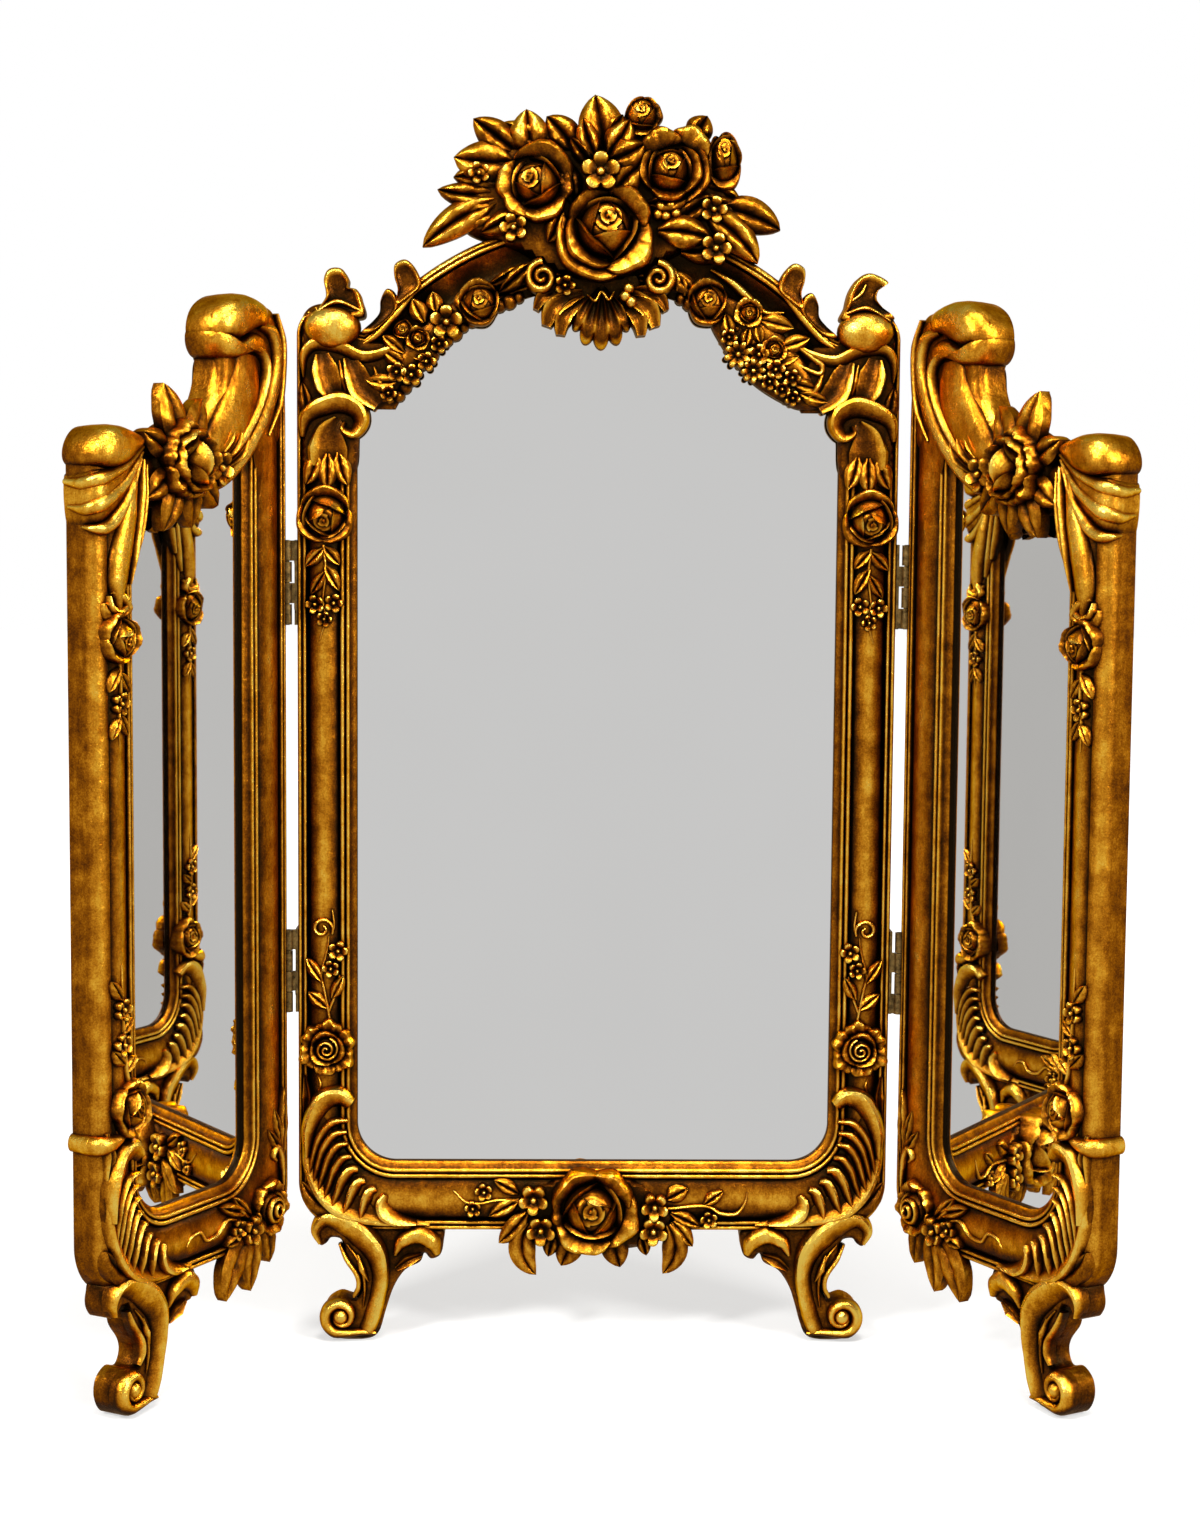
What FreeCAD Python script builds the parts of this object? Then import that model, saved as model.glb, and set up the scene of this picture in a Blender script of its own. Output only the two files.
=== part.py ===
import FreeCAD, Part
import math
import os
from types import SimpleNamespace

import Sketcher
from FreeCAD import Placement, Rotation, Vector

# A gilded dressing table mirror: a centre panel on two feet, with a narrower wing hinged to each side.
# Every panel is drawn flat: x to the right, y up from the floor, z towards the viewer, and z = 0 on the
# front face of its frame. A wing is drawn with x = 0 on its hinge axis. The panels are then stood up
# and the wings are swung forward to the angle they stand at. All sizes are millimetres and degrees.

os.makedirs("parts", exist_ok=True)
doc = FreeCAD.newDocument("dressing_table_mirror")

SIZES = (
    ("base_height", 35, "floor to the lower edge of every frame"),
    ("lip_thickness", 4, "frame in front of the glass"),
    ("glass_thickness", 3, "mirror glass"),
    ("board_thickness", 4, "backing board behind the glass"),
    ("glass_clearance", 0.4, "gap around the edge of the glass and the board"),
    ("rebate_lip", 5, "overlap of the frame over the edge of the glass"),
    ("edge_bevel", 2, "bevel around the outer front edge of a frame"),
    ("rim_bead", 4, "outer edge of a frame to its sunk channel"),
    ("sight_bead", 5, "sight edge of a frame to its sunk channel"),
    ("channel_depth", 1.4, "depth of the sunk channel"),
    ("sight_bevel", 2.5, "bevel around the sight opening"),
    ("corner_radius", 15, "rounded lower corners of a frame"),
    ("sight_corner", 12, "rounded lower corners of a sight opening"),
    ("centre_width", 180, "centre frame, edge to edge"),
    ("stile_width", 17.8, "uprights of the centre frame"),
    ("rail_height", 21, "lower rail of every frame"),
    ("shoulder_height", 306, "floor to the shoulders of the centre frame"),
    ("shoulder_valley", 1.2, "flat between a shoulder lobe and the arch"),
    ("shoulder_lobe", 9, "radius of a shoulder lobe"),
    ("arch_drop", 53.5, "shoulders down to the centre of the arch's circles"),
    ("arch_width", 20, "arch member between its two circles"),
    ("ledge_lift", 32, "centre of the arch's circles up to the ledges beside the sight's arch"),
    ("wing_width", 90, "hinge axis to the outer edge of a wing"),
    ("wing_hinge_stile", 20, "hinge axis to the sight opening of a wing"),
    ("wing_stile", 18, "outer upright of a wing"),
    ("wing_rail_top", 273.5, "floor to the top edge of a wing's outer part"),
    ("wing_corner", 6, "rounded top outer corner of a wing"),
    ("neck_inset", 34, "outer edge of a wing to the foot of the sweep in its top edge"),
    ("neck_radius", 24, "sweep in a wing's top edge"),
    ("nose_undercut", 4.5, "eye of a wing's scroll to the start of that sweep"),
    ("nose_radius", 8.8, "end of a wing's scroll"),
    ("wing_lobe", 9.5, "rounded top corner of a wing at its hinge"),
    ("wing_top_rail", 19.5, "level top of a wing down to its sight opening"),
    ("wing_sight_corner", 5, "top outer corner of a wing's sight opening"),
    ("sweep_flat", 9, "level top of a wing's sight opening, between its corner and its sweep"),
    ("sweep_margin", 14, "extra radius of that sweep"),
    ("rest_fold", 61.5, "turn of a wing from flat, as it stands"),
    ("hinge_length", 25.4, "length of each hinge"),
    ("hinge_upper", 232.7, "floor to the middle of an upper hinge"),
    ("hinge_lower", 115.2, "floor to the middle of a lower hinge"),
    ("barrel_radius", 1.3, "hinge barrel"),
    ("pin_radius", 0.6, "hinge pin"),
    ("pin_clearance", 0.04, "running clearance around a hinge pin"),
    ("barrel_clearance", 0.3, "gap between a barrel and the other leaf"),
    ("knuckle_gap", 0.3, "gap between neighbouring knuckles"),
    ("leaf_thickness", 0.8, "hinge leaf"),
    ("leaf_depth", 9.5, "front face of the frame to the back edge of a hinge leaf"),
    ("hinge_gap_centre", 2.8, "centre frame edge to the hinge axis"),
    ("hinge_gap_wing", 0.3, "hinge axis to the wing frame edge"),
    ("leaf_screw_depth", 5.8, "front face of the frame to the leaf screws"),
    ("leaf_screw_spread", 7, "middle of a hinge to each of its screws"),
    ("leaf_screw_shank", 0.8, "radius of a leaf screw"),
    ("leaf_screw_head", 1.5, "radius of a leaf screw's head"),
    ("leaf_screw_rise", 0.5, "height of a leaf screw's head"),
    ("leaf_screw_length", 5, "length of a leaf screw in the frame"),
    ("thread_clearance", 0.05, "gap around a screw or dowel in its hole"),
    ("clip_length", 17, "back clip, along its screw and lip"),
    ("clip_width", 8, "back clip, across"),
    ("clip_thickness", 1, "back clip"),
    ("clip_overlap", 6, "back clip over the backing board"),
    ("clip_screw_inset", 5, "end of a back clip to its screw"),
    ("clip_screw_shank", 1, "radius of a clip screw"),
    ("clip_screw_head", 2.2, "radius of a clip screw's head"),
    ("clip_screw_rise", 1.2, "height of a clip screw's head"),
    ("clip_screw_length", 6, "length of a clip screw in the frame"),
    ("clip_rise", 32, "sight opening up to the lowest clips"),
    ("centre_clip_drop", 42, "shoulders down to the highest clips of the centre"),
    ("wing_clip_drop", 67.5, "level top of a wing down to its upper clips"),
    ("foot_front", 0.8, "front face of the frame to the front of a foot"),
    ("foot_thickness", 9.4, "foot, front to back"),
    ("foot_lobe_inset", 4.6, "frame edge to the outer leaf of a foot"),
    ("foot_lobe_drop", 6, "outer leaf of a foot, downwards"),
    ("foot_lobe_corner", 1, "outer edge of that leaf to its top corner"),
    ("foot_lobe_tip", 3, "outer edge of that leaf to its tip"),
    ("foot_lobe_root", 8.4, "outer edge of that leaf to its root"),
    ("foot_lobe_hollow", 2, "tip of that leaf up to its root"),
    ("foot_scroll_inset", 14.5, "frame edge to the scroll of a foot"),
    ("foot_scroll", 6.6, "radius of the scroll of a foot"),
    ("foot_sole", 10, "flat sole of a foot"),
    ("foot_waist_inset", 18.7, "frame edge to the waist of a foot"),
    ("foot_waist_height", 17.5, "floor to the waist of a foot"),
    ("foot_ankle_inset", 32.5, "frame edge to the inner edge of a foot, above"),
    ("foot_ankle_height", 22, "floor to the top of that inner edge"),
    ("foot_leaf_inset", 44, "frame edge to the inner leaf of a foot"),
    ("foot_leaf_drop", 9.5, "inner leaf of a foot, downwards"),
    ("foot_leaf_tip", 3.2, "inner edge of that leaf to its tip"),
    ("foot_leaf_hollow", 2.4, "tip of that leaf up to its root"),
    ("dowel_inset", 23, "frame edge to the dowel of a foot"),
    ("dowel_depth", 5.5, "front face of the frame to the dowel of a foot"),
    ("dowel_radius", 2, "dowel of a foot"),
    ("dowel_reach", 7, "length of a dowel in the frame, and in the foot"),
    ("crest_sink", 3.3, "top of the arch down to the middle of the crest"),
    ("crest_reach", 52, "middle of the crest to its side leaves"),
    ("crest_rise", 38, "middle of the crest to its top leaf"),
    ("crest_notch", 7, "depth of the notches between the crest's leaves"),
    ("crest_foot", 48, "middle of the crest to the ends of its seat on the arch"),
    ("crest_front", 5, "crest plate in front of the frame face"),
    ("crest_back", 7, "crest plate behind the frame face"),
    ("seat_gap", 0.05, "glue line between an ornament and a curved edge"),
    ("crest_apron", 34, "half angle of the crest plate that laps the arch"),
    ("crest_apron_inset", 1.5, "sight edge of the arch to that plate"),
    ("crest_rose", 13, "radius of the large rose of the crest"),
    ("crest_rose_rise", 8, "height of that rose"),
    ("crest_bud", 10, "radius of the side roses of the crest"),
    ("crest_bud_rise", 6.5, "height of those roses"),
    ("crest_bud_place", 20, "middle of the crest to its side roses, across"),
    ("crest_bud_lift", 15, "middle of the crest to its side roses, upwards"),
    ("shell_sink", 1.3, "top of the sight opening down to the hinge of the shell"),
    ("shell_reach", 17, "half width of the shell"),
    ("shell_drop", 17, "shell, downwards"),
    ("shell_notch", 2, "notches between the flutes of the shell"),
    ("shell_front", 4, "shell in front of the frame face"),
    ("garland_low", 33, "angle of the outer end of an arch garland"),
    ("garland_high", 54, "angle of the inner end of an arch garland"),
    ("garland_inset", 1, "sight edge of the arch to a garland"),
    ("garland_width", 12, "arch garland"),
    ("garland_front", 3.6, "arch garland in front of the frame face"),
    ("garland_bead", 5.4, "radius of the flowers of a garland"),
    ("garland_bead_rise", 3, "height of those flowers"),
    ("scroll_inset", 1.4, "frame edge to a shoulder scroll"),
    ("scroll_drop", 18, "shoulder to the lower end of a shoulder scroll"),
    ("scroll_heel", 6, "lower end of a shoulder scroll up to its outer corner"),
    ("scroll_width", 19, "shoulder scroll, across"),
    ("scroll_front", 2.4, "shoulder scroll in front of the frame face"),
    ("ball_radius", 8, "shoulder ball"),
    ("ball_rise", 3.8, "height of a shoulder ball above its scroll"),
    ("finial_height", 18, "shoulder to the tip of a finial"),
    ("finial_lean", 2, "middle of a shoulder lobe to the tip of its finial"),
    ("finial_half", 6.5, "half the foot of a finial"),
    ("finial_front", 2, "finial in front of the frame face"),
    ("finial_back", 8, "finial behind the frame face"),
    ("rose_inset", 9.3, "frame edge to the stile roses of the centre"),
    ("rose_upper_drop", 54, "shoulders down to the upper stile roses of the centre"),
    ("rose_lower_rise", 59, "lower edge of the frame up to the lower stile roses of the centre"),
    ("rose_reach", 8.2, "radius of a stile rose"),
    ("rose_plate", 1.8, "outer petals of a rose in front of the frame face"),
    ("rose_bud", 5.8, "radius of the bud of a stile rose"),
    ("rose_bud_rise", 3.4, "height of that bud"),
    ("spray_length", 36, "middle of a stile rose to the tip of its spray"),
    ("corner_leaf_inset", 4, "frame edge to a corner leaf"),
    ("corner_leaf_width", 12, "corner leaf"),
    ("corner_leaf_rise", 48, "corner leaf, up the stile"),
    ("corner_leaf_run", 46, "corner leaf, along the rail"),
    ("corner_leaf_front", 2.4, "corner leaf in front of the frame face"),
    ("corner_leaf_bend", 9, "inner bend of a corner leaf"),
    ("apron_rise", 8, "lower edge of the frame up to the rose of the apron spray"),
    ("apron_reach", 26, "apron spray, to each side of its rose"),
    ("apron_drop", 20.5, "apron spray, below its rose"),
    ("apron_notch", 5, "notches between the leaves of the apron spray"),
    ("apron_top", 9, "apron spray, above its rose"),
    ("apron_front", 3, "apron spray in front of the frame face"),
    ("apron_rose", 10.5, "radius of the apron rose"),
    ("apron_rose_rise", 5, "height of the apron rose"),
    ("tendril_reach", 43, "apron rose to the end of each tendril"),
    ("tendril_half", 2.6, "half the width of a tendril"),
    ("wing_scroll_inset", 10, "hinge axis to the scroll ornament of a wing"),
    ("wing_scroll_edge", 2, "frame edge to the scroll ornament of a wing"),
    ("wing_scroll_drop", 28, "wing top to the lower end of its scroll ornament"),
    ("wing_scroll_front", 2.6, "scroll ornament of a wing in front of the frame face"),
    ("wing_eye", 5.6, "radius of the eye of a wing's scroll"),
    ("wing_eye_rise", 2.4, "height of that eye"),
    ("wing_crest_inset", 34, "outer edge of a wing to its top rose"),
    ("wing_crest_drop", 7.5, "level top of a wing down to its top rose"),
    ("wing_crest_reach", 16, "leaves of the top rose of a wing, across"),
    ("wing_crest_rise", 20, "leaves of the top rose of a wing, upwards"),
    ("wing_crest_notch", 7, "notches between those leaves"),
    ("wing_crest_front", 3.2, "those leaves in front of the frame face"),
    ("wing_rose", 8, "radius of the top rose of a wing"),
    ("wing_rose_rise", 4.4, "height of the top rose of a wing"),
    ("block_width", 17, "corner block of a wing, across"),
    ("block_drop", 22, "corner block of a wing, downwards"),
    ("block_point", 7.4, "height of the point below a corner block"),
    ("block_edge", 1, "frame edge to the corner block of a wing"),
    ("block_front", 3, "corner block of a wing in front of the frame face"),
    ("wing_rose_inset", 8.5, "frame edge to the stile roses of a wing"),
    ("wing_rose_drop", 54.5, "level top of a wing down to its upper stile rose"),
    ("wing_rose_lift", 61, "lower edge of a wing up to its lower stile rose"),
    ("wing_rose_reach", 7, "radius of a stile rose of a wing"),
    ("wing_spray_length", 24, "middle of such a rose to the tip of its spray"),
    ("low_rose_place", 15, "hinge axis to the lower rose of a wing"),
    ("low_rose_rise", 11, "lower edge of a wing up to its lower rose"),
    ("low_rose_reach", 9, "radius of the lower rose of a wing"),
    ("low_leaf_reach", 16, "middle of that rose to the tip of its long leaf, across"),
    ("low_leaf_drop", 12.5, "lower edge of a wing down to that tip"),
    ("low_leaf_short_reach", 4, "middle of that rose to the tip of its short leaf, across"),
    ("low_leaf_short_drop", 6.5, "lower edge of a wing down to that tip"),
)

CREST_LEAVES = 11
CREST_FAN = (-8, 188)
SHELL_FLUTES = 5
SHELL_FAN = (200, 340)
APRON_LEAVES = 6
APRON_FAN = (192, 348)
WING_CREST_LEAVES = 8
FULL_TURN = (0, 360)
ROSE_PETALS = 6
GARLAND_FLOWERS = 3
KNUCKLES = 4

# How flat the arcs are: the distance from an arc's centre to its chord, over the chord. A negative
# one is a hollow. The foot's bends go round from the inner end of its top, with None for a flat edge.
LEAF_ROUND = 0.9
PETAL_ROUND = 0.44
SPRAY_ROUND = 1.1
TOE_ROUND = 1.2
END_ROUND = 0.4
HOLLOW = -1.4
THROAT = -0.9
SLACK = 2
FOOT_BENDS = (0.5, 1, -1.2, -2.5, None, None, -1.5, -0.8, 1, 0.6, None)
PETAL_VALLEY = 0.86
SIDES = (("left", -1), ("right", 1))

sheet = doc.addObject("Spreadsheet::Sheet", "sizes")
for row, (alias, number, meaning) in enumerate(SIZES, 1):
    sheet.set(f"A{row}", alias)
    sheet.set(f"B{row}", str(number))
    sheet.set(f"C{row}", meaning)
    sheet.setAlias(f"B{row}", alias)
doc.recompute()


class Dim:
    """A size: its value now, and the expression that gives it from the sheet's cells."""

    def __init__(self, value, text):
        self.value = float(value)
        self.text = text

    def __add__(self, other):
        other = dim(other)
        return Dim(self.value + other.value, f"({self.text} + {other.text})")

    def __sub__(self, other):
        other = dim(other)
        return Dim(self.value - other.value, f"({self.text} - {other.text})")

    def __mul__(self, other):
        other = dim(other)
        return Dim(self.value * other.value, f"({self.text} * {other.text})")

    def __truediv__(self, other):
        other = dim(other)
        return Dim(self.value / other.value, f"({self.text} / {other.text})")

    def __neg__(self):
        return dim(0) - self

    __radd__ = __add__
    __rmul__ = __mul__

    def __rsub__(self, other):
        return dim(other) - self


def dim(number):
    if isinstance(number, Dim):
        return number
    return Dim(number, f"({float(number):.9f})")


def root(square):
    return Dim(math.sqrt(square.value), f"sqrt({square.text})")


def turned(radius, angle):
    """The point at this radius and sheet angle from the origin, as two sizes."""
    across = Dim(math.cos(math.radians(angle.value)), f"cos({angle.text})")
    up = Dim(math.sin(math.radians(angle.value)), f"sin({angle.text})")
    return radius * across, radius * up


S = SimpleNamespace(**{alias: Dim(sheet.get(alias), f"sizes.{alias}") for alias, number, meaning in SIZES})
FRONT = dim(0)
HALF = S.centre_width / 2
FRAME_BACK = -(S.lip_thickness + S.glass_thickness + S.board_thickness)
GLASS_FRONT = -S.lip_thickness
BOARD_FRONT = -(S.lip_thickness + S.glass_thickness)
SIGHT_BASE = S.base_height + S.rail_height
SIGHT_HALF = HALF - S.stile_width
GLASS_EDGE = S.rebate_lip - S.glass_clearance
LOBE_X = HALF - S.shoulder_lobe
ARCH_X = LOBE_X - S.shoulder_lobe - S.shoulder_valley
ARCH_Y = S.shoulder_height - S.arch_drop
ARCH_RADIUS = root(ARCH_X * ARCH_X + S.arch_drop * S.arch_drop)
SIGHT_RADIUS = ARCH_RADIUS - S.arch_width
ARCH_HUB = (dim(0), ARCH_Y)
CREST_Y = ARCH_Y + ARCH_RADIUS - S.crest_sink
SHELL_Y = ARCH_Y + SIGHT_RADIUS - S.shell_sink
NECK_X = S.wing_width - S.neck_inset
NOSE_X = NECK_X - S.neck_radius - S.nose_undercut
NOSE_BASE = S.wing_rail_top + S.neck_radius
NOSE_Y = NOSE_BASE + S.nose_radius
WING_TOP = NOSE_Y + S.nose_radius
WING_SIGHT_OUTER = S.wing_width - S.wing_stile
WING_SIGHT_TOP = S.wing_rail_top - S.wing_top_rail
SWEEP_X = WING_SIGHT_OUTER - S.wing_sight_corner - S.sweep_flat


# A loop is a list of (point, bend). The bend belongs to the edge that leaves the point: None for a
# straight edge, or the centre of an arc and its turn, 1 anticlockwise and -1 clockwise.

def mirrored(loop):
    flipped = []
    for (x, y), bend in loop:
        if bend is not None:
            (cx, cy), turn = bend
            bend = ((-cx, cy), -turn)
        flipped.append(((-x, y), bend))
    return flipped


def sided(loop, side):
    return loop if side > 0 else mirrored(loop)


def bulge(start, end, flatness):
    """An arc from start to end that swells to the right of its way, or hollows if flatness is negative."""
    dx = end[0] - start[0]
    dy = end[1] - start[1]
    middle_x = (start[0] + end[0]) / 2
    middle_y = (start[1] + end[1]) / 2
    centre = (middle_x - dy * flatness, middle_y + dx * flatness)
    return centre, 1 if flatness > 0 else -1


def joined(points, flatness):
    """A loop through these points with every edge swelling outwards."""
    loop = []
    for index, start in enumerate(points):
        end = points[(index + 1) % len(points)]
        loop.append((start, bulge(start, end, flatness)))
    return loop


def leaf_fan(x, y, reach_x, reach_y, notch, fan, count):
    """The points of a fan of pointed leaves, tip and notch in turn, anticlockwise."""
    points = []
    step = (fan[1] - fan[0]) / (count - 1)
    for index in range(2 * count - 1):
        angle = math.radians(fan[0] + step * index / 2)
        inset = notch if index % 2 else 0
        across = (reach_x - inset) * math.cos(angle)
        up = (reach_y - inset) * math.sin(angle)
        points.append((x + across, y + up))
    return points


def petal_ring(x, y, reach):
    """A loop of round petals."""
    valley = reach * PETAL_VALLEY
    points = []
    for index in range(ROSE_PETALS):
        angle = 2 * math.pi * index / ROSE_PETALS
        points.append((x + valley * math.cos(angle), y + valley * math.sin(angle)))
    return joined(points, PETAL_ROUND)


def spray_leaf(start, end):
    """A slender leaf between two points."""
    return joined([start, end], SPRAY_ROUND)


def centre_outline(inset):
    """The outer edge of the centre frame, drawn in by an inset: lower corners, shoulder lobes and arch."""
    arch = ARCH_RADIUS - inset
    arch_x = root(arch * arch - S.arch_drop * S.arch_drop)
    corner_x = HALF - S.corner_radius
    corner_y = S.base_height + S.corner_radius
    side_x = HALF - inset
    base = S.base_height + inset
    valley_x = LOBE_X - S.shoulder_lobe + inset
    shoulder = S.shoulder_height
    return [
        ((-corner_x, base), None),
        ((corner_x, base), ((corner_x, corner_y), 1)),
        ((side_x, corner_y), None),
        ((side_x, shoulder), ((LOBE_X, shoulder), 1)),
        ((valley_x, shoulder), None),
        ((arch_x, shoulder), (ARCH_HUB, 1)),
        ((-arch_x, shoulder), None),
        ((-valley_x, shoulder), ((-LOBE_X, shoulder), 1)),
        ((-side_x, shoulder), None),
        ((-side_x, corner_y), ((-corner_x, corner_y), 1)),
    ]


def centre_sight(outset):
    """The sight opening of the centre frame, let out by an outset: lower corners, ledges and arch."""
    arch = SIGHT_RADIUS + outset
    lift = S.ledge_lift + outset
    ledge = ARCH_Y + lift
    arch_x = root(arch * arch - lift * lift)
    corner_x = SIGHT_HALF - S.sight_corner
    corner_y = SIGHT_BASE + S.sight_corner
    side_x = SIGHT_HALF + outset
    base = SIGHT_BASE - outset
    return [
        ((-corner_x, base), None),
        ((corner_x, base), ((corner_x, corner_y), 1)),
        ((side_x, corner_y), None),
        ((side_x, ledge), None),
        ((arch_x, ledge), (ARCH_HUB, 1)),
        ((-arch_x, ledge), None),
        ((-side_x, ledge), None),
        ((-side_x, corner_y), ((-corner_x, corner_y), 1)),
    ]


def wing_outline(inset):
    """The outer edge of a right wing's frame: scroll top at the hinge, a sweep, then a level top."""
    inner = S.hinge_gap_wing
    corner_y = S.base_height + S.corner_radius
    outer_corner = S.wing_width - S.corner_radius
    inner_corner = inner + S.corner_radius
    base = S.base_height + inset
    top = WING_TOP - inset
    level = S.wing_rail_top - inset
    top_corner = S.wing_width - S.wing_corner
    neck = S.neck_radius + inset
    neck_x = NECK_X - root(neck * neck - inset * inset)
    under = NOSE_BASE + inset
    lobe_x = inner + S.wing_lobe
    lobe_y = WING_TOP - S.wing_lobe
    return [
        ((inner_corner, base), None),
        ((outer_corner, base), ((outer_corner, corner_y), 1)),
        ((S.wing_width - inset, corner_y), None),
        ((S.wing_width - inset, S.wing_rail_top - S.wing_corner),
         ((top_corner, S.wing_rail_top - S.wing_corner), 1)),
        ((top_corner, level), None),
        ((NECK_X, level), ((NECK_X, NOSE_BASE), -1)),
        ((neck_x, under), None),
        ((NOSE_X, under), ((NOSE_X, NOSE_Y), 1)),
        ((NOSE_X, top), None),
        ((lobe_x, top), ((lobe_x, lobe_y), 1)),
        ((inner + inset, lobe_y), None),
        ((inner + inset, corner_y), ((inner_corner, corner_y), 1)),
    ]


def wing_sight(outset):
    """The sight opening of a right wing's frame, with a top edge that sweeps up towards the hinge."""
    inner = S.wing_hinge_stile
    inner_corner = inner + S.sight_corner
    outer_corner = WING_SIGHT_OUTER - S.sight_corner
    corner_y = SIGHT_BASE + S.sight_corner
    top_x = WING_SIGHT_OUTER - S.wing_sight_corner
    top_y = WING_SIGHT_TOP - S.wing_sight_corner
    sweep = SWEEP_X - inner + S.sweep_margin
    sweep_y = WING_SIGHT_TOP + sweep
    run = SWEEP_X - inner + outset
    reach = sweep - outset
    peak = sweep_y - root(reach * reach - run * run)
    return [
        ((inner_corner, SIGHT_BASE - outset), None),
        ((outer_corner, SIGHT_BASE - outset), ((outer_corner, corner_y), 1)),
        ((WING_SIGHT_OUTER + outset, corner_y), None),
        ((WING_SIGHT_OUTER + outset, top_y), ((top_x, top_y), 1)),
        ((top_x, WING_SIGHT_TOP + outset), None),
        ((SWEEP_X, WING_SIGHT_TOP + outset), ((SWEEP_X, sweep_y), -1)),
        ((inner - outset, peak), None),
        ((inner - outset, corner_y), ((inner_corner, corner_y), 1)),
    ]


def new_body(name):
    body = doc.addObject("PartDesign::Body", name)
    body.Label = name
    return body


def draw_loop(sketch, loop):
    """Adds a closed loop to a sketch, with its points and arc centres held by the sheet."""
    first = sketch.GeometryCount
    ends = []
    for index, ((x, y), bend) in enumerate(loop):
        next_x, next_y = loop[(index + 1) % len(loop)][0]
        start = Vector(x.value, y.value, 0)
        end = Vector(next_x.value, next_y.value, 0)
        if bend is None:
            sketch.addGeometry(Part.LineSegment(start, end))
            ends.append((1, 2))
            continue
        (cx, cy), turn = bend
        centre = Vector(cx.value, cy.value, 0)
        circle = Part.Circle(centre, Vector(0, 0, 1), (start - centre).Length)
        begin = math.atan2(start.y - centre.y, start.x - centre.x)
        finish = math.atan2(end.y - centre.y, end.x - centre.x)
        if turn < 0:
            begin, finish = finish, begin
        sketch.addGeometry(Part.ArcOfCircle(circle, begin, finish))
        ends.append((1, 2) if turn > 0 else (2, 1))
    for index in range(len(loop)):
        after = (index + 1) % len(loop)
        sketch.addConstraint(Sketcher.Constraint(
            "Coincident", first + index, ends[index][1], first + after, ends[after][0]))
    for index, ((x, y), bend) in enumerate(loop):
        hold(sketch, "DistanceX", first + index, ends[index][0], x)
        hold(sketch, "DistanceY", first + index, ends[index][0], y)
        if bend is not None:
            next_x, next_y = loop[(index + 1) % len(loop)][0]
            (cx, cy), turn = bend
            if abs(next_x.value - x.value) < abs(next_y.value - y.value):
                hold(sketch, "DistanceX", first + index, 3, cx)
            else:
                hold(sketch, "DistanceY", first + index, 3, cy)


def hold(sketch, kind, edge, point, size):
    number = sketch.addConstraint(Sketcher.Constraint(kind, edge, point, size.value))
    sketch.setExpression(f"Constraints[{number}]", size.text)


def new_sketch(body, loops, level):
    """A sketch of closed loops on the body's XY plane, lifted to a level along z."""
    plane = [item for item in body.Origin.OriginFeatures if item.Role == "XY_Plane"][0]
    sketch = body.newObject("Sketcher::SketchObject", f"{body.Name}_sketch")
    sketch.AttachmentSupport = [(plane, "")]
    sketch.MapMode = "FlatFace"
    sketch.AttachmentOffset = Placement(Vector(0, 0, level.value), Rotation())
    sketch.setExpression("AttachmentOffset.Base.z", level.text)
    for loop in loops:
        draw_loop(sketch, loop)
    doc.recompute()
    return sketch


def pad(body, loops, low, high):
    feature = body.newObject("PartDesign::Pad", f"{body.Name}_pad")
    feature.Profile = new_sketch(body, loops, low)
    feature.setExpression("Length", (high - low).text)
    doc.recompute()
    return feature


def pocket(body, loops, low, high):
    feature = body.newObject("PartDesign::Pocket", f"{body.Name}_pocket")
    feature.Profile = new_sketch(body, loops, high)
    feature.setExpression("Length", (high - low).text)
    doc.recompute()
    return feature


def loft(body, kind, low_loop, low, high_loop, high):
    feature = body.newObject(f"PartDesign::{kind}", f"{body.Name}_loft")
    feature.Profile = new_sketch(body, [low_loop], low)
    feature.Sections = [new_sketch(body, [high_loop], high)]
    feature.Ruled = True
    doc.recompute()
    return feature


def dome(body, x, y, level, radius, rise):
    """A round boss whose foot has this radius, rising from a level along z."""
    ball = (radius * radius + rise * rise) / (2 * rise)
    cap = body.newObject("PartDesign::AdditiveSphere", f"{body.Name}_dome")
    cap.setExpression("Radius", ball.text)
    cap.setExpression("Angle1", f"asin(1 - {rise.text} / {ball.text})")
    move(cap, x, y, level + rise - ball)
    doc.recompute()
    return cap


def move(item, x, y, z, rotation=None):
    item.Placement = Placement(Vector(x.value, y.value, z.value), rotation or Rotation())
    item.setExpression("Placement.Base.x", x.text)
    item.setExpression("Placement.Base.y", y.text)
    item.setExpression("Placement.Base.z", z.text)


def block(name, x, y, z):
    """A box between two sizes along each axis."""
    box = doc.addObject("Part::Box", name)
    box.setExpression("Length", (x[1] - x[0]).text)
    box.setExpression("Width", (y[1] - y[0]).text)
    box.setExpression("Height", (z[1] - z[0]).text)
    move(box, x[0], y[0], z[0])
    return box


RODS = {
    "+x": Rotation(Vector(0, 1, 0), 90),
    "-x": Rotation(Vector(0, 1, 0), -90),
    "+y": Rotation(Vector(1, 0, 0), -90),
    "-z": Rotation(Vector(1, 0, 0), 180),
    "+z": Rotation(),
}


def rod(name, heading, x, y, z, radius, length):
    """A round bar that starts at a point and runs along a heading."""
    bar = doc.addObject("Part::Cylinder", name)
    bar.setExpression("Radius", radius.text)
    bar.setExpression("Height", length.text)
    move(bar, x, y, z, RODS[heading])
    return bar


def fused(name, shapes):
    whole = doc.addObject("Part::MultiFuse", name)
    whole.Shapes = shapes
    return whole


def group(name, shapes):
    whole = doc.addObject("Part::Compound", name)
    whole.Links = shapes
    return whole


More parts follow.
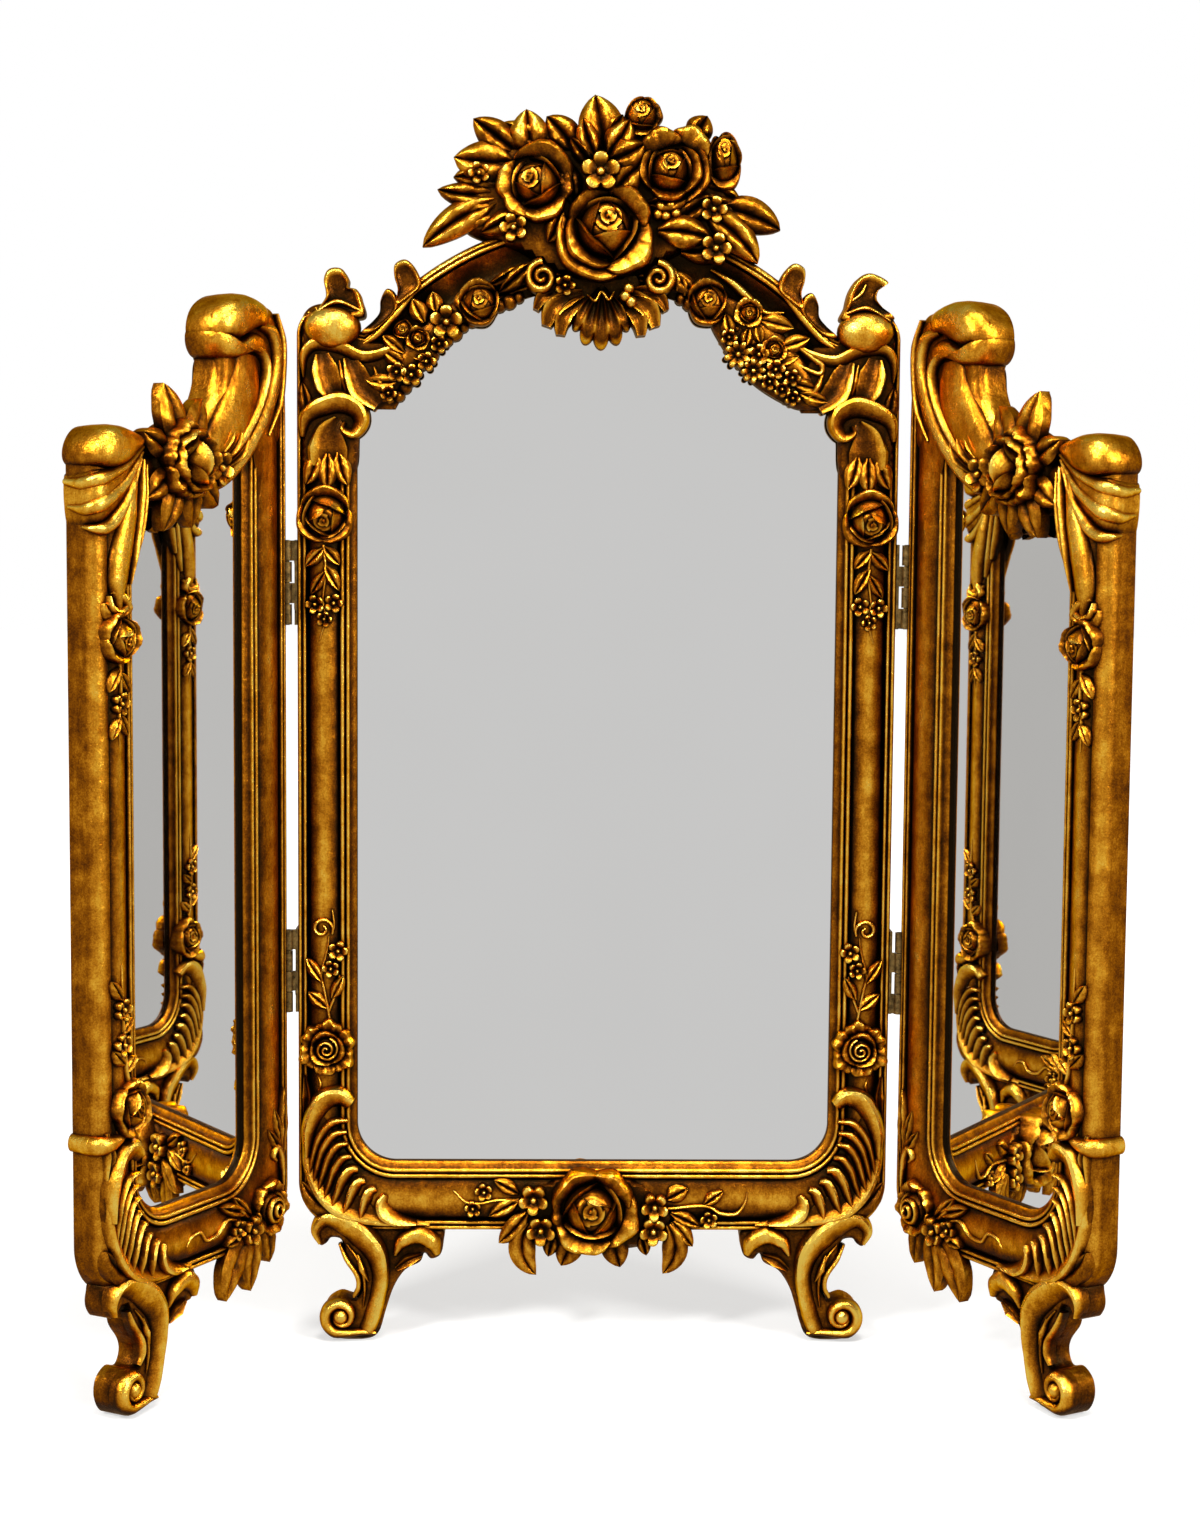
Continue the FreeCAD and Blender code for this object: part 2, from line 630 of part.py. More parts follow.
def drilled(name, base, tools):
    whole = doc.addObject("Part::Cut", name)
    whole.Base = base
    whole.Tool = group(f"{name}_holes", tools)
    return whole


nodes = {}


def keep(name, item, panel):
    item.Label = name
    nodes[name] = (item, panel)


def build_frame(name, outline, sight, side):
    """A beaded frame with a sunk channel on its face and a rebate behind for the glass and its board."""
    def edge(inset):
        return sided(outline(dim(inset)), side)

    def opening(outset):
        return sided(sight(dim(outset)), side)

    body = new_body(f"{name}_body")
    pad(body, [edge(0)], FRAME_BACK, -S.edge_bevel)
    loft(body, "AdditiveLoft", edge(0), -S.edge_bevel, edge(S.edge_bevel), FRONT)
    pocket(body, [opening(0)], FRAME_BACK, FRONT)
    pocket(body, [opening(S.rebate_lip)], FRAME_BACK, GLASS_FRONT)
    pocket(body, [edge(S.rim_bead), opening(S.sight_bead)], -S.channel_depth, FRONT)
    loft(body, "SubtractiveLoft", opening(0), -S.sight_bevel, opening(S.sight_bevel), FRONT)
    return body


def build_sheet(name, sight, side, low, high, panel):
    """A flat pane or board that lies in a frame's rebate."""
    body = new_body(name)
    pad(body, [sided(sight(GLASS_EDGE), side)], low, high)
    keep(name, body, panel)


def foot_loop(edge):
    """A scrolled foot under a frame, with its outer side towards the frame's edge."""
    top = S.base_height
    lobe_x = edge - S.foot_lobe_inset
    lobe_low = top - S.foot_lobe_drop
    scroll_x = edge - S.foot_scroll_inset
    heel = scroll_x - S.foot_sole
    waist_x = edge - S.foot_waist_inset
    ankle_x = edge - S.foot_ankle_inset
    leaf_x = edge - S.foot_leaf_inset
    leaf_low = top - S.foot_leaf_drop
    notch_x = (ankle_x + leaf_x) / 2
    points = [
        (leaf_x, top),
        (leaf_x + S.foot_leaf_tip, leaf_low),
        (notch_x, leaf_low + S.foot_leaf_hollow),
        (ankle_x, S.foot_ankle_height),
        (heel, dim(0)),
        (scroll_x, dim(0)),
        (scroll_x, 2 * S.foot_scroll),
        (waist_x, S.foot_waist_height),
        (lobe_x - S.foot_lobe_root, lobe_low + S.foot_lobe_hollow),
        (lobe_x - S.foot_lobe_tip, lobe_low),
        (lobe_x - S.foot_lobe_corner, top),
    ]
    loop = []
    for index, flat in enumerate(FOOT_BENDS):
        start = points[index]
        end = points[(index + 1) % len(points)]
        loop.append((start, bulge(start, end, flat) if flat else None))
    scroll = FOOT_BENDS.index(None) + 1
    loop[scroll] = (points[scroll], ((scroll_x, S.foot_scroll), 1))
    return loop


def build_foot(name, edge, side, panel):
    """A foot, and the dowel hole in its top."""
    body = new_body(f"{name}_body")
    pad(body, [sided(foot_loop(edge), side)], -(S.foot_front + S.foot_thickness), -S.foot_front)
    hole = dowel(f"{name}_hole", edge, side, S.thread_clearance)
    keep(name, drilled(name, body, [hole]), panel)


def dowel(name, edge, side, clearance):
    """A dowel half in the frame and half in the foot, or with a clearance, its hole."""
    start = S.base_height - S.dowel_reach - clearance
    x = side * (edge - S.dowel_inset)
    return rod(name, "+y", x, start, -S.dowel_depth, S.dowel_radius + clearance,
               2 * (S.dowel_reach + clearance))


def build_rose(name, x, y, reach, bud, rise, leaves, side):
    """A round rose on a frame's face, with slender leaves that run from it to given points."""
    body = new_body(name)
    loop = petal_ring(x, y, reach)
    pad(body, [sided(loop, side)], FRONT, S.rose_plate)
    for tip in leaves:
        pad(body, [sided(spray_leaf((x, y), tip), side)], FRONT, S.rose_plate)
    dome(body, side * x, y, S.rose_plate, bud, rise)
    return body


def corner_leaf(name, edge, side):
    """An acanthus band that follows a frame's lower outer corner."""
    outer_x = edge - S.corner_leaf_inset
    inner_x = outer_x - S.corner_leaf_width
    low = S.base_height + S.corner_leaf_inset
    high = low + S.corner_leaf_width
    top = S.base_height + S.corner_leaf_rise
    end_x = edge - S.corner_leaf_run
    bend_x = edge - S.corner_radius
    bend_y = S.base_height + S.corner_radius
    inner_bend_x = inner_x - S.corner_leaf_bend
    inner_bend_y = high + S.corner_leaf_bend
    tip = ((outer_x + inner_x) / 2, top)
    toe = (end_x, (low + high) / 2)
    side_top = (outer_x, bend_y + S.corner_leaf_bend)
    inner_top = (inner_x, inner_bend_y + S.corner_leaf_bend)
    loop = [
        (toe, bulge(toe, (bend_x, low), TOE_ROUND)),
        ((bend_x, low), ((bend_x, bend_y), 1)),
        ((outer_x, bend_y), None),
        (side_top, bulge(side_top, tip, LEAF_ROUND)),
        (tip, bulge(tip, inner_top, LEAF_ROUND)),
        (inner_top, None),
        ((inner_x, inner_bend_y), ((inner_bend_x, inner_bend_y), -1)),
        ((inner_bend_x, high), bulge((inner_bend_x, high), toe, TOE_ROUND)),
    ]
    body = new_body(name)
    pad(body, [sided(loop, side)], FRONT, S.corner_leaf_front)
    return body


def clip_set(panel_name, places, panel):
    """Back clips across the joint of a frame and its board, and the screw of each."""
    clips = []
    screws = []
    holes = []
    back = FRAME_BACK - S.clip_thickness
    for index, (joint_x, inward, y) in enumerate(places, 1):
        tip = joint_x + inward * S.clip_overlap
        tail = tip - inward * S.clip_length
        low, high = (tip, tail) if inward < 0 else (tail, tip)
        screw_x = tail + inward * S.clip_screw_inset
        across = (y - S.clip_width / 2, y + S.clip_width / 2)
        plate = block(f"{panel_name}_clip_plate_{index}", (low, high), across, (back, FRAME_BACK))
        bore = S.clip_screw_shank + S.thread_clearance
        reach = S.clip_thickness + S.clip_screw_length
        slot = rod(f"{panel_name}_clip_bore_{index}", "+z", screw_x, y, back, bore, S.clip_thickness)
        clips.append(drilled(f"{panel_name}_clip_{index}", plate, [slot]))
        shank = rod(f"{panel_name}_clip_shank_{index}", "+z", screw_x, y, back, S.clip_screw_shank, reach)
        head = rod(f"{panel_name}_clip_head_{index}", "-z", screw_x, y, back,
                   S.clip_screw_head, S.clip_screw_rise)
        screws.append(fused(f"{panel_name}_clip_screw_{index}", [shank, head]))
        holes.append(rod(f"{panel_name}_clip_pilot_{index}", "+z", screw_x, y, FRAME_BACK, bore,
                         S.clip_screw_length + S.thread_clearance))
    keep(f"{panel_name}_back_clips", group(f"{panel_name}_back_clips", clips), panel)
    keep(f"{panel_name}_clip_screws", group(f"{panel_name}_clip_screws", screws), panel)
    return holes


def knuckle_span(middle, index):
    pitch = S.hinge_length / KNUCKLES
    low = middle - S.hinge_length / 2 + pitch * index
    return low + S.knuckle_gap / 2, low + pitch - S.knuckle_gap / 2


def hinge_leaf(name, axis_x, face_x, out, middle, own, cranked):
    """A hinge leaf on a frame's side edge. Out is 1 where the edge faces +x, and -1 where it faces -x."""
    low = middle - S.hinge_length / 2
    high = middle + S.hinge_length / 2
    root_x = face_x
    skin_x = face_x + out * S.leaf_thickness
    plate_x = (root_x, skin_x) if out > 0 else (skin_x, root_x)
    arm_low = -S.barrel_radius
    arm_high = arm_low + S.leaf_thickness
    plate_top = arm_high if cranked else -(S.barrel_radius + S.barrel_clearance)
    shapes = [block(f"{name}_plate", plate_x, (low, high), (-S.leaf_depth, plate_top))]
    for index in own:
        bottom, top = knuckle_span(middle, index)
        shapes.append(rod(f"{name}_knuckle_{index}", "+y", axis_x, bottom, FRONT,
                          S.barrel_radius, top - bottom))
        if cranked:
            arm_x = (root_x, axis_x) if out > 0 else (axis_x, root_x)
            arm_z = (arm_low, arm_high)
        else:
            arm_x = plate_x
            arm_z = (plate_top, arm_high)
        shapes.append(block(f"{name}_arm_{index}", arm_x, (bottom, top), arm_z))
    bore = S.pin_radius + S.pin_clearance
    tools = [rod(f"{name}_bore", "+y", axis_x, low, FRONT, bore, S.hinge_length)]
    for sign in (-1, 1):
        y = middle + sign * S.leaf_screw_spread
        tools.append(rod(f"{name}_screw_hole_{sign + 1}", "+x", plate_x[0], y, -S.leaf_screw_depth,
                         S.leaf_screw_shank + S.thread_clearance, S.leaf_thickness))
    return drilled(name, fused(f"{name}_blank", shapes), tools)


def leaf_screws(name, skin_x, out, middle):
    """The two screws of a leaf, and the holes they need in the frame."""
    screws = []
    holes = []
    inward = "-x" if out > 0 else "+x"
    outward = "+x" if out > 0 else "-x"
    reach = S.leaf_thickness + S.leaf_screw_length
    for sign in (-1, 1):
        y = middle + sign * S.leaf_screw_spread
        z = -S.leaf_screw_depth
        shank = rod(f"{name}_shank_{sign + 1}", inward, skin_x, y, z, S.leaf_screw_shank, reach)
        head = rod(f"{name}_head_{sign + 1}", outward, skin_x, y, z, S.leaf_screw_head, S.leaf_screw_rise)
        screws.append(fused(f"{name}_{sign + 1}", [shank, head]))
        holes.append(rod(f"{name}_pilot_{sign + 1}", inward, skin_x, y, z,
                         S.leaf_screw_shank + S.thread_clearance, reach + S.thread_clearance))
    return screws, holes


def build_crest():
    """The crest: a fan of leaves seated on the arch, a plate that laps the arch, a shell and three roses."""
    body = new_body("centre_crest")
    seat = ARCH_RADIUS + S.seat_gap
    seat_y = ARCH_Y + root(seat * seat - S.crest_foot * S.crest_foot)
    fan = leaf_fan(dim(0), CREST_Y, S.crest_reach, S.crest_rise, S.crest_notch,
                   CREST_FAN, CREST_LEAVES)
    points = [(S.crest_foot, seat_y)] + fan + [(-S.crest_foot, seat_y)]
    loop = joined(points, LEAF_ROUND)
    loop[-1] = (points[-1], (ARCH_HUB, -1))
    pad(body, [loop], -S.crest_back, S.crest_front)
    low = SIGHT_RADIUS + S.crest_apron_inset
    high = seat + S.seat_gap
    x_low, y_low = turned(low, 90 - S.crest_apron)
    x_high, y_high = turned(high, 90 - S.crest_apron)
    lap = [
        ((x_low, ARCH_Y + y_low), None),
        ((x_high, ARCH_Y + y_high), (ARCH_HUB, 1)),
        ((-x_high, ARCH_Y + y_high), None),
        ((-x_low, ARCH_Y + y_low), (ARCH_HUB, -1)),
    ]
    pad(body, [lap], FRONT, S.crest_front)
    flutes = leaf_fan(dim(0), SHELL_Y, S.shell_reach, S.shell_drop, S.shell_notch,
                      SHELL_FAN, SHELL_FLUTES)
    points = flutes + [(S.shell_reach / 2, SHELL_Y + S.shell_drop / 2),
                       (-S.shell_reach / 2, SHELL_Y + S.shell_drop / 2)]
    loop = joined(points, LEAF_ROUND)
    loop[-2] = (points[-2], None)
    pad(body, [loop], FRONT, S.shell_front)
    dome(body, dim(0), CREST_Y, S.crest_front, S.crest_rose, S.crest_rose_rise)
    for side in (-1, 1):
        dome(body, side * S.crest_bud_place, CREST_Y + S.crest_bud_lift, S.crest_front,
             S.crest_bud, S.crest_bud_rise)
    keep("centre_crest", body, "centre")


def build_apron():
    """The spray on the lower rail: a rose, hanging leaves and a tendril to each side."""
    body = new_body("centre_apron_spray")
    middle = S.base_height + S.apron_rise
    fan = leaf_fan(dim(0), middle, S.apron_reach, S.apron_drop, S.apron_notch,
                   APRON_FAN, APRON_LEAVES)
    top = middle + S.apron_top
    points = fan + [(S.apron_reach / 2, top), (-S.apron_reach / 2, top)]
    loop = joined(points, LEAF_ROUND)
    loop[-2] = (points[-2], None)
    pad(body, [loop], FRONT, S.apron_front)
    for side in (-1, 1):
        end = (side * S.tendril_reach, middle + S.tendril_half)
        start = (side * S.apron_reach / 2, middle)
        pad(body, [spray_leaf(start, end)], FRONT, S.apron_front)
    dome(body, dim(0), middle, S.apron_front, S.apron_rose, S.apron_rose_rise)
    keep("centre_apron_spray", body, "centre")


def build_garland(name, side):
    """A garland along one haunch of the arch, with a row of flowers."""
    body = new_body(name)
    low = SIGHT_RADIUS + S.garland_inset
    high = low + S.garland_width
    middle = (low + high) / 2
    corners = []
    ends = ((low, S.garland_low), (high, S.garland_low), (high, S.garland_high), (low, S.garland_high))
    for radius, angle in ends:
        x, y = turned(radius, angle)
        corners.append((x, ARCH_Y + y))
    loop = [
        (corners[0], bulge(corners[0], corners[1], END_ROUND)),
        (corners[1], (ARCH_HUB, 1)),
        (corners[2], None),
        (corners[3], (ARCH_HUB, -1)),
    ]
    pad(body, [sided(loop, side)], FRONT, S.garland_front)
    step = (S.garland_high - S.garland_low) / GARLAND_FLOWERS
    for index in range(GARLAND_FLOWERS):
        x, y = turned(middle, S.garland_low + step * (index + 0.5))
        dome(body, side * x, ARCH_Y + y, S.garland_front, S.garland_bead, S.garland_bead_rise)
    return body


def build_shoulder(name, side):
    """The scroll and ball on a shoulder of the centre frame."""
    body = new_body(name)
    edge = HALF - S.scroll_inset
    low = S.shoulder_height - S.scroll_drop
    toe = (edge - S.scroll_width, low)
    heel = (edge, low + S.scroll_heel)
    waist = (LOBE_X - S.shoulder_lobe + S.scroll_inset, S.shoulder_height)
    loop = [
        (toe, bulge(toe, heel, HOLLOW)),
        (heel, None),
        ((edge, S.shoulder_height), ((LOBE_X, S.shoulder_height), 1)),
        (waist, bulge(waist, toe, THROAT)),
    ]
    pad(body, [sided(loop, side)], FRONT, S.scroll_front)
    dome(body, side * LOBE_X, S.shoulder_height, S.scroll_front, S.ball_radius, S.ball_rise)
    return body


def build_finial(name, side):
    """A curled leaf that stands on a shoulder lobe."""
    body = new_body(name)
    seat = S.shoulder_lobe + S.seat_gap
    foot_y = S.shoulder_height + root(seat * seat - S.finial_half * S.finial_half)
    right = (LOBE_X + S.finial_half, foot_y)
    tip = (LOBE_X + S.finial_lean, S.shoulder_height + S.finial_height)
    left = (LOBE_X - S.finial_half, foot_y)
    loop = [
        (right, bulge(right, tip, LEAF_ROUND)),
        (tip, bulge(tip, left, LEAF_ROUND)),
        (left, ((LOBE_X, S.shoulder_height), -1)),
    ]
    pad(body, [sided(loop, side)], -S.finial_back, S.finial_front)
    return body


def build_wing_scroll(name, side, panel):
    """The acanthus scroll at the top of a wing, beside its hinge."""
    body = new_body(name)
    inner = S.wing_scroll_inset
    top = WING_TOP - S.wing_scroll_edge
    under = NOSE_BASE + S.wing_scroll_edge
    lobe = S.wing_lobe - S.wing_scroll_edge
    low = WING_TOP - S.wing_scroll_drop
    toe = (inner + lobe, low)
    throat = (NOSE_X - S.wing_scroll_edge, under)
    loop = [
        (toe, bulge(toe, throat, HOLLOW)),
        (throat, None),
        ((NOSE_X, under), ((NOSE_X, NOSE_Y), 1)),
        ((NOSE_X, top), None),
        ((inner + lobe, top), ((inner + lobe, top - lobe), 1)),
        ((inner, top - lobe), bulge((inner, top - lobe), toe, SLACK)),
    ]
    pad(body, [sided(loop, side)], FRONT, S.wing_scroll_front)
    dome(body, side * NOSE_X, NOSE_Y, S.wing_scroll_front, S.wing_eye, S.wing_eye_rise)
    keep(name, body, panel)


def build_wing_crest(name, side, panel):
    """The rose and pointed leaves on the top edge of a wing."""
    body = new_body(name)
    x = S.wing_width - S.wing_crest_inset
    y = S.wing_rail_top - S.wing_crest_drop
    points = leaf_fan(x, y, S.wing_crest_reach, S.wing_crest_rise, S.wing_crest_notch,
                      FULL_TURN, WING_CREST_LEAVES + 1)
    pad(body, [sided(joined(points[:-1], LEAF_ROUND), side)], FRONT, S.wing_crest_front)
    dome(body, side * x, y, S.wing_crest_front, S.wing_rose, S.wing_rose_rise)
    keep(name, body, panel)


def build_corner_block(name, side, panel):
    """The draped leaf on the top outer corner of a wing."""
    body = new_body(name)
    outer = S.wing_width - S.block_edge
    top = S.wing_rail_top - S.block_edge
    inner = outer - S.block_width
    low = top - S.block_drop
    bend = S.wing_corner - S.block_edge
    foot = (outer, low + S.block_point)
    tip = ((inner + outer) / 2, low)
    inner_low = (inner, low + S.block_point)
    loop = [
        (tip, bulge(tip, foot, LEAF_ROUND)),
        (foot, None),
        ((outer, top - bend), ((outer - bend, top - bend), 1)),
        ((outer - bend, top), None),
        ((inner, top), None),
        (inner_low, bulge(inner_low, tip, LEAF_ROUND)),
    ]
    pad(body, [sided(loop, side)], FRONT, S.block_front)
    keep(name, body, panel)


def build_centre():
    panel = "centre"
    holes = []
    build_sheet("centre_glass", centre_sight, 1, BOARD_FRONT, GLASS_FRONT, panel)
    build_sheet("centre_back_board", centre_sight, 1, FRAME_BACK, BOARD_FRONT, panel)
    joint_x = SIGHT_HALF + S.rebate_lip
    places = []
    clip_low = SIGHT_BASE + S.clip_rise
    clip_high = S.shoulder_height - S.centre_clip_drop
    for y in (clip_low, (clip_low + clip_high) / 2, clip_high):
        places.append((-joint_x, 1, y))
        places.append((joint_x, -1, y))
    holes += clip_set("centre", places, panel)
    dowels = []
    screws = []
    for word, side in SIDES:
        build_foot(f"centre_{word}_foot", HALF, side, panel)
        dowels.append(dowel(f"centre_{word}_dowel", HALF, side, dim(0)))
        holes.append(dowel(f"centre_{word}_dowel_hole", HALF, side, S.thread_clearance))
        own = (1, 3) if side < 0 else (0, 2)
        axis_x = side * (HALF + S.hinge_gap_centre)
        for level, middle in (("upper", S.hinge_upper), ("lower", S.hinge_lower)):
            name = f"{word}_{level}_hinge_centre_leaf"
            keep(name, hinge_leaf(name, axis_x, side * HALF, side, middle, own, True), panel)
            skin_x = side * (HALF + S.leaf_thickness)
            pair, pilots = leaf_screws(f"{word}_{level}_centre_screw", skin_x, side, middle)
            screws += pair
            holes += pilots
            pin = rod(f"{word}_{level}_hinge_pin", "+y", axis_x, middle - S.hinge_length / 2, FRONT,
                      S.pin_radius, S.hinge_length)
            keep(f"{word}_{level}_hinge_pin", pin, panel)
    keep("centre_foot_dowels", group("centre_foot_dowels", dowels), panel)
    keep("centre_hinge_screws", group("centre_hinge_screws", screws), panel)
    frame = build_frame("centre_frame", centre_outline, centre_sight, 1)
    keep("centre_frame", drilled("centre_frame", frame, holes), panel)
    build_crest()
    build_apron()
    roses = []
    leaves = []
    garlands = []
    scrolls = []
    finials = []
    rose_x = HALF - S.rose_inset
    upper = S.shoulder_height - S.rose_upper_drop
    lower = S.base_height + S.rose_lower_rise
    for word, side in SIDES:
        for level, y, way in (("upper", upper, -1), ("lower", lower, 1)):
            tip = (rose_x, y + way * S.spray_length)
            roses.append(build_rose(f"centre_{word}_{level}_rose", rose_x, y, S.rose_reach, S.rose_bud,
                                    S.rose_bud_rise, [tip], side))
        leaves.append(corner_leaf(f"centre_{word}_corner_leaf", HALF, side))
        garlands.append(build_garland(f"{word}_arch_garland", side))
        scrolls.append(build_shoulder(f"{word}_shoulder_scroll", side))
        finials.append(build_finial(f"{word}_shoulder_finial", side))
    keep("centre_stile_roses", group("centre_stile_roses", roses), panel)
    keep("centre_corner_leaves", group("centre_corner_leaves", leaves), panel)
    keep("arch_garlands", group("arch_garlands", garlands), panel)
    keep("shoulder_scrolls", group("shoulder_scrolls", scrolls), panel)
    keep("shoulder_finials", group("shoulder_finials", finials), panel)


def build_wing(word, side):
    panel = f"{word}_wing"
    build_sheet(f"{panel}_glass", wing_sight, side, BOARD_FRONT, GLASS_FRONT, panel)
    build_sheet(f"{panel}_back_board", wing_sight, side, FRAME_BACK, BOARD_FRONT, panel)
    places = []
    for y in (SIGHT_BASE + S.clip_rise, S.wing_rail_top - S.wing_clip_drop):
        places.append((side * (S.wing_hinge_stile - S.rebate_lip), side, y))
        places.append((side * (WING_SIGHT_OUTER + S.rebate_lip), -side, y))
    holes = clip_set(panel, places, panel)
    build_foot(f"{panel}_foot", S.wing_width, side, panel)
    keep(f"{panel}_foot_dowel", dowel(f"{panel}_foot_dowel", S.wing_width, side, dim(0)), panel)
    holes.append(dowel(f"{panel}_dowel_hole", S.wing_width, side, S.thread_clearance))
    screws = []
    own = (0, 2) if side < 0 else (1, 3)
    skin_x = side * S.hinge_gap_wing
    root_x = side * (S.hinge_gap_wing + S.leaf_thickness)
    mortise_x = (skin_x, root_x) if side > 0 else (root_x, skin_x)
    for level, middle in (("upper", S.hinge_upper), ("lower", S.hinge_lower)):
        name = f"{word}_{level}_hinge_wing_leaf"
        keep(name, hinge_leaf(name, dim(0), root_x, -side, middle, own, False), panel)
        pair, pilots = leaf_screws(f"{word}_{level}_wing_screw", skin_x, -side, middle)
        screws += pair
        holes += pilots
        span = (middle - S.hinge_length / 2, middle + S.hinge_length / 2)
        holes.append(block(f"{name}_mortise", mortise_x, span, (-S.leaf_depth, FRONT)))
    keep(f"{panel}_hinge_screws", group(f"{panel}_hinge_screws", screws), panel)
    frame = build_frame(f"{panel}_frame", wing_outline, wing_sight, side)
    keep(f"{panel}_frame", drilled(f"{panel}_frame", frame, holes), panel)
    build_wing_scroll(f"{panel}_top_scroll", side, panel)
    build_wing_crest(f"{panel}_top_rose", side, panel)
    build_corner_block(f"{panel}_corner_block", side, panel)
    keep(f"{panel}_corner_leaf", corner_leaf(f"{panel}_corner_leaf", S.wing_width, side), panel)
    rose_x = S.wing_width - S.wing_rose_inset
    roses = []
    upper = S.wing_rail_top - S.wing_rose_drop
    lower = S.base_height + S.wing_rose_lift
    for level, y, way in (("upper", upper, -1), ("lower", lower, 1)):
        tip = (rose_x, y + way * S.wing_spray_length)
        roses.append(build_rose(f"{panel}_{level}_rose", rose_x, y, S.wing_rose_reach, S.rose_bud,
                                S.rose_bud_rise, [tip], side))
    keep(f"{panel}_stile_roses", group(f"{panel}_stile_roses", roses), panel)
    tips = [
        (S.low_rose_place + S.low_leaf_reach, S.base_height - S.low_leaf_drop),
        (S.low_rose_place + S.low_leaf_short_reach, S.base_height - S.low_leaf_short_drop),
    ]
    rose = build_rose(f"{panel}_low_rose", S.low_rose_place, S.base_height + S.low_rose_rise,
                      S.low_rose_reach, S.rose_bud, S.rose_bud_rise, tips, side)
    keep(f"{panel}_low_rose", rose, panel)


build_centre()
for wing_word, wing_side in SIDES:
    build_wing(wing_word, wing_side)
doc.recompute()


# Each panel is stood up, and each wing is carried to its hinge axis and turned forward. The whole part is
# then slid along y until it is centred front to back on the origin.
upright = Placement(Vector(), Rotation(Vector(1, 0, 0), 90))
axis_place = (HALF + S.hinge_gap_centre).value
stands = {"centre": upright}
for wing_word, wing_side in SIDES:
    swing = Rotation(Vector(0, 0, 1), -wing_side * S.rest_fold.value)
    stands[f"{wing_word}_wing"] = Placement(Vector(wing_side * axis_place, 0, 0), swing) * upright
own_places = {}
for node, (item, panel) in nodes.items():
    item.setExpression("Placement.Base.x", None)
    item.setExpression("Placement.Base.y", None)
    item.setExpression("Placement.Base.z", None)
    own_places[node] = item.Placement
    item.Placement = stands[panel] * own_places[node]
doc.recompute()
box = FreeCAD.BoundBox()
for item, panel in nodes.values():
    box.add(item.Shape.BoundBox)
slide = Placement(Vector(0, -(box.YMin + box.YMax) / 2, 0), Rotation())
for node, (item, panel) in nodes.items():
    item.Placement = slide * stands[panel] * own_places[node]
doc.recompute()

for item in doc.Objects:
    if "Invalid" in item.State or "Error" in item.State:
        raise RuntimeError(f"{item.Label} did not build: {item.State}")
for node, (item, panel) in nodes.items():
    if item.Shape.isNull() or not item.Shape.isValid() or not item.Shape.Solids:
        raise RuntimeError(f"{node} has no valid solid")
    item.Shape.exportStep(f"parts/{node}.step")
print(f"{len(nodes)} nodes, box {box.XLength:.2f} x {box.YLength:.2f} x {box.ZLength:.2f} mm")
print(f"hinge axes at x = +-{axis_place:.3f}, y = {slide.Base.y:.3f} mm")
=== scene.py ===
"""Looks of a gilded three-panel dressing table mirror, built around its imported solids.

Ornaments are drawn flat on their own panel, in millimetres: u to the right (on a wing, out from the hinge
axis), v up from the floor and w towards the viewer, with w = 0 at the front of the frame.
"""

import math

import bpy
import numpy as np
from mathutils import Matrix, Vector
from mathutils.geometry import delaunay_2d_cdt


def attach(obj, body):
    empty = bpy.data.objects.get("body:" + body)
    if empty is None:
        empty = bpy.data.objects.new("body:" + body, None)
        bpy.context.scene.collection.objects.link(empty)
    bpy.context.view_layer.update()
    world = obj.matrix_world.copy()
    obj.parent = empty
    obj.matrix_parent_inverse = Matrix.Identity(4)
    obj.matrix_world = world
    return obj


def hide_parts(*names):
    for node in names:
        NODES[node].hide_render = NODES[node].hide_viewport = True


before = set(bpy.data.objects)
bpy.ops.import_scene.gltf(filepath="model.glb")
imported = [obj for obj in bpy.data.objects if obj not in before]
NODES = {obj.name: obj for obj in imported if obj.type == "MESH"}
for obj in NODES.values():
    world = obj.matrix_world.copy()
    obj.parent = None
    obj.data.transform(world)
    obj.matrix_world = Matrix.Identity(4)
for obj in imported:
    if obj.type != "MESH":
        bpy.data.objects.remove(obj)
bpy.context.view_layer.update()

MM = 0.001
TAU = 2 * math.pi
FOLD = math.radians(61.5)
AXIS_U = 92.8
FRONT_Y = 33.223
WINGS = {"left_wing": -1, "right_wing": 1}
SIDES = (-1, 1)
SMOOTH_ANGLE = math.radians(38)
# The most brightness that the back of a carved form gets: painted shade underneath
UNDERSIDE_PAINTED_SHADE = 0.25

# Every frame, as the solids have it
BASE = 35
DEPTH = 11
LIP = 4
REBATE = 5
CORNER = 15
SIGHT_BASE = 56
SIGHT_CORNER = 12

# Centre frame: its outer edge, then the glass that shows
HALF = 90
SHOULDER = 306
LOBE = 9
LOBE_U = 81
ARCH_V = 252.5
ARCH_R = 88.74
SPRING_U = 70.8
SIGHT_HALF = 72.2
SIGHT_R = 68.74
LEDGE = 284.5

# Wing frame, from the hinge axis: its outer edge, then the glass that shows
WING = 90
WING_IN = 0.3
WING_TOP = 273.5
WING_CORNER = 6
NECK_U = 56
NECK_R = 24
CROWN_V = 300
WING_SIGHT_LEFT = 20
WING_SIGHT_RIGHT = 72
WING_SIGHT_TOP = 254
WING_SIGHT_CORNER = 5
SWEEP_U = 58
SWEEP_R = 52
SWEEP_DROP = 30

# Carvings: the rounding of a wing's outer edge, and the garlands' vine and beads about the arch
EDGE_R = 2.5
VINE_R = 73.4
BEADS_R = 69.6


def spread(value, t):
    """A number, or a list of numbers evenly spaced along t, read at t."""
    knots = np.atleast_1d(np.asarray(value, float))
    return np.interp(t, np.linspace(0, 1, len(knots)), knots)


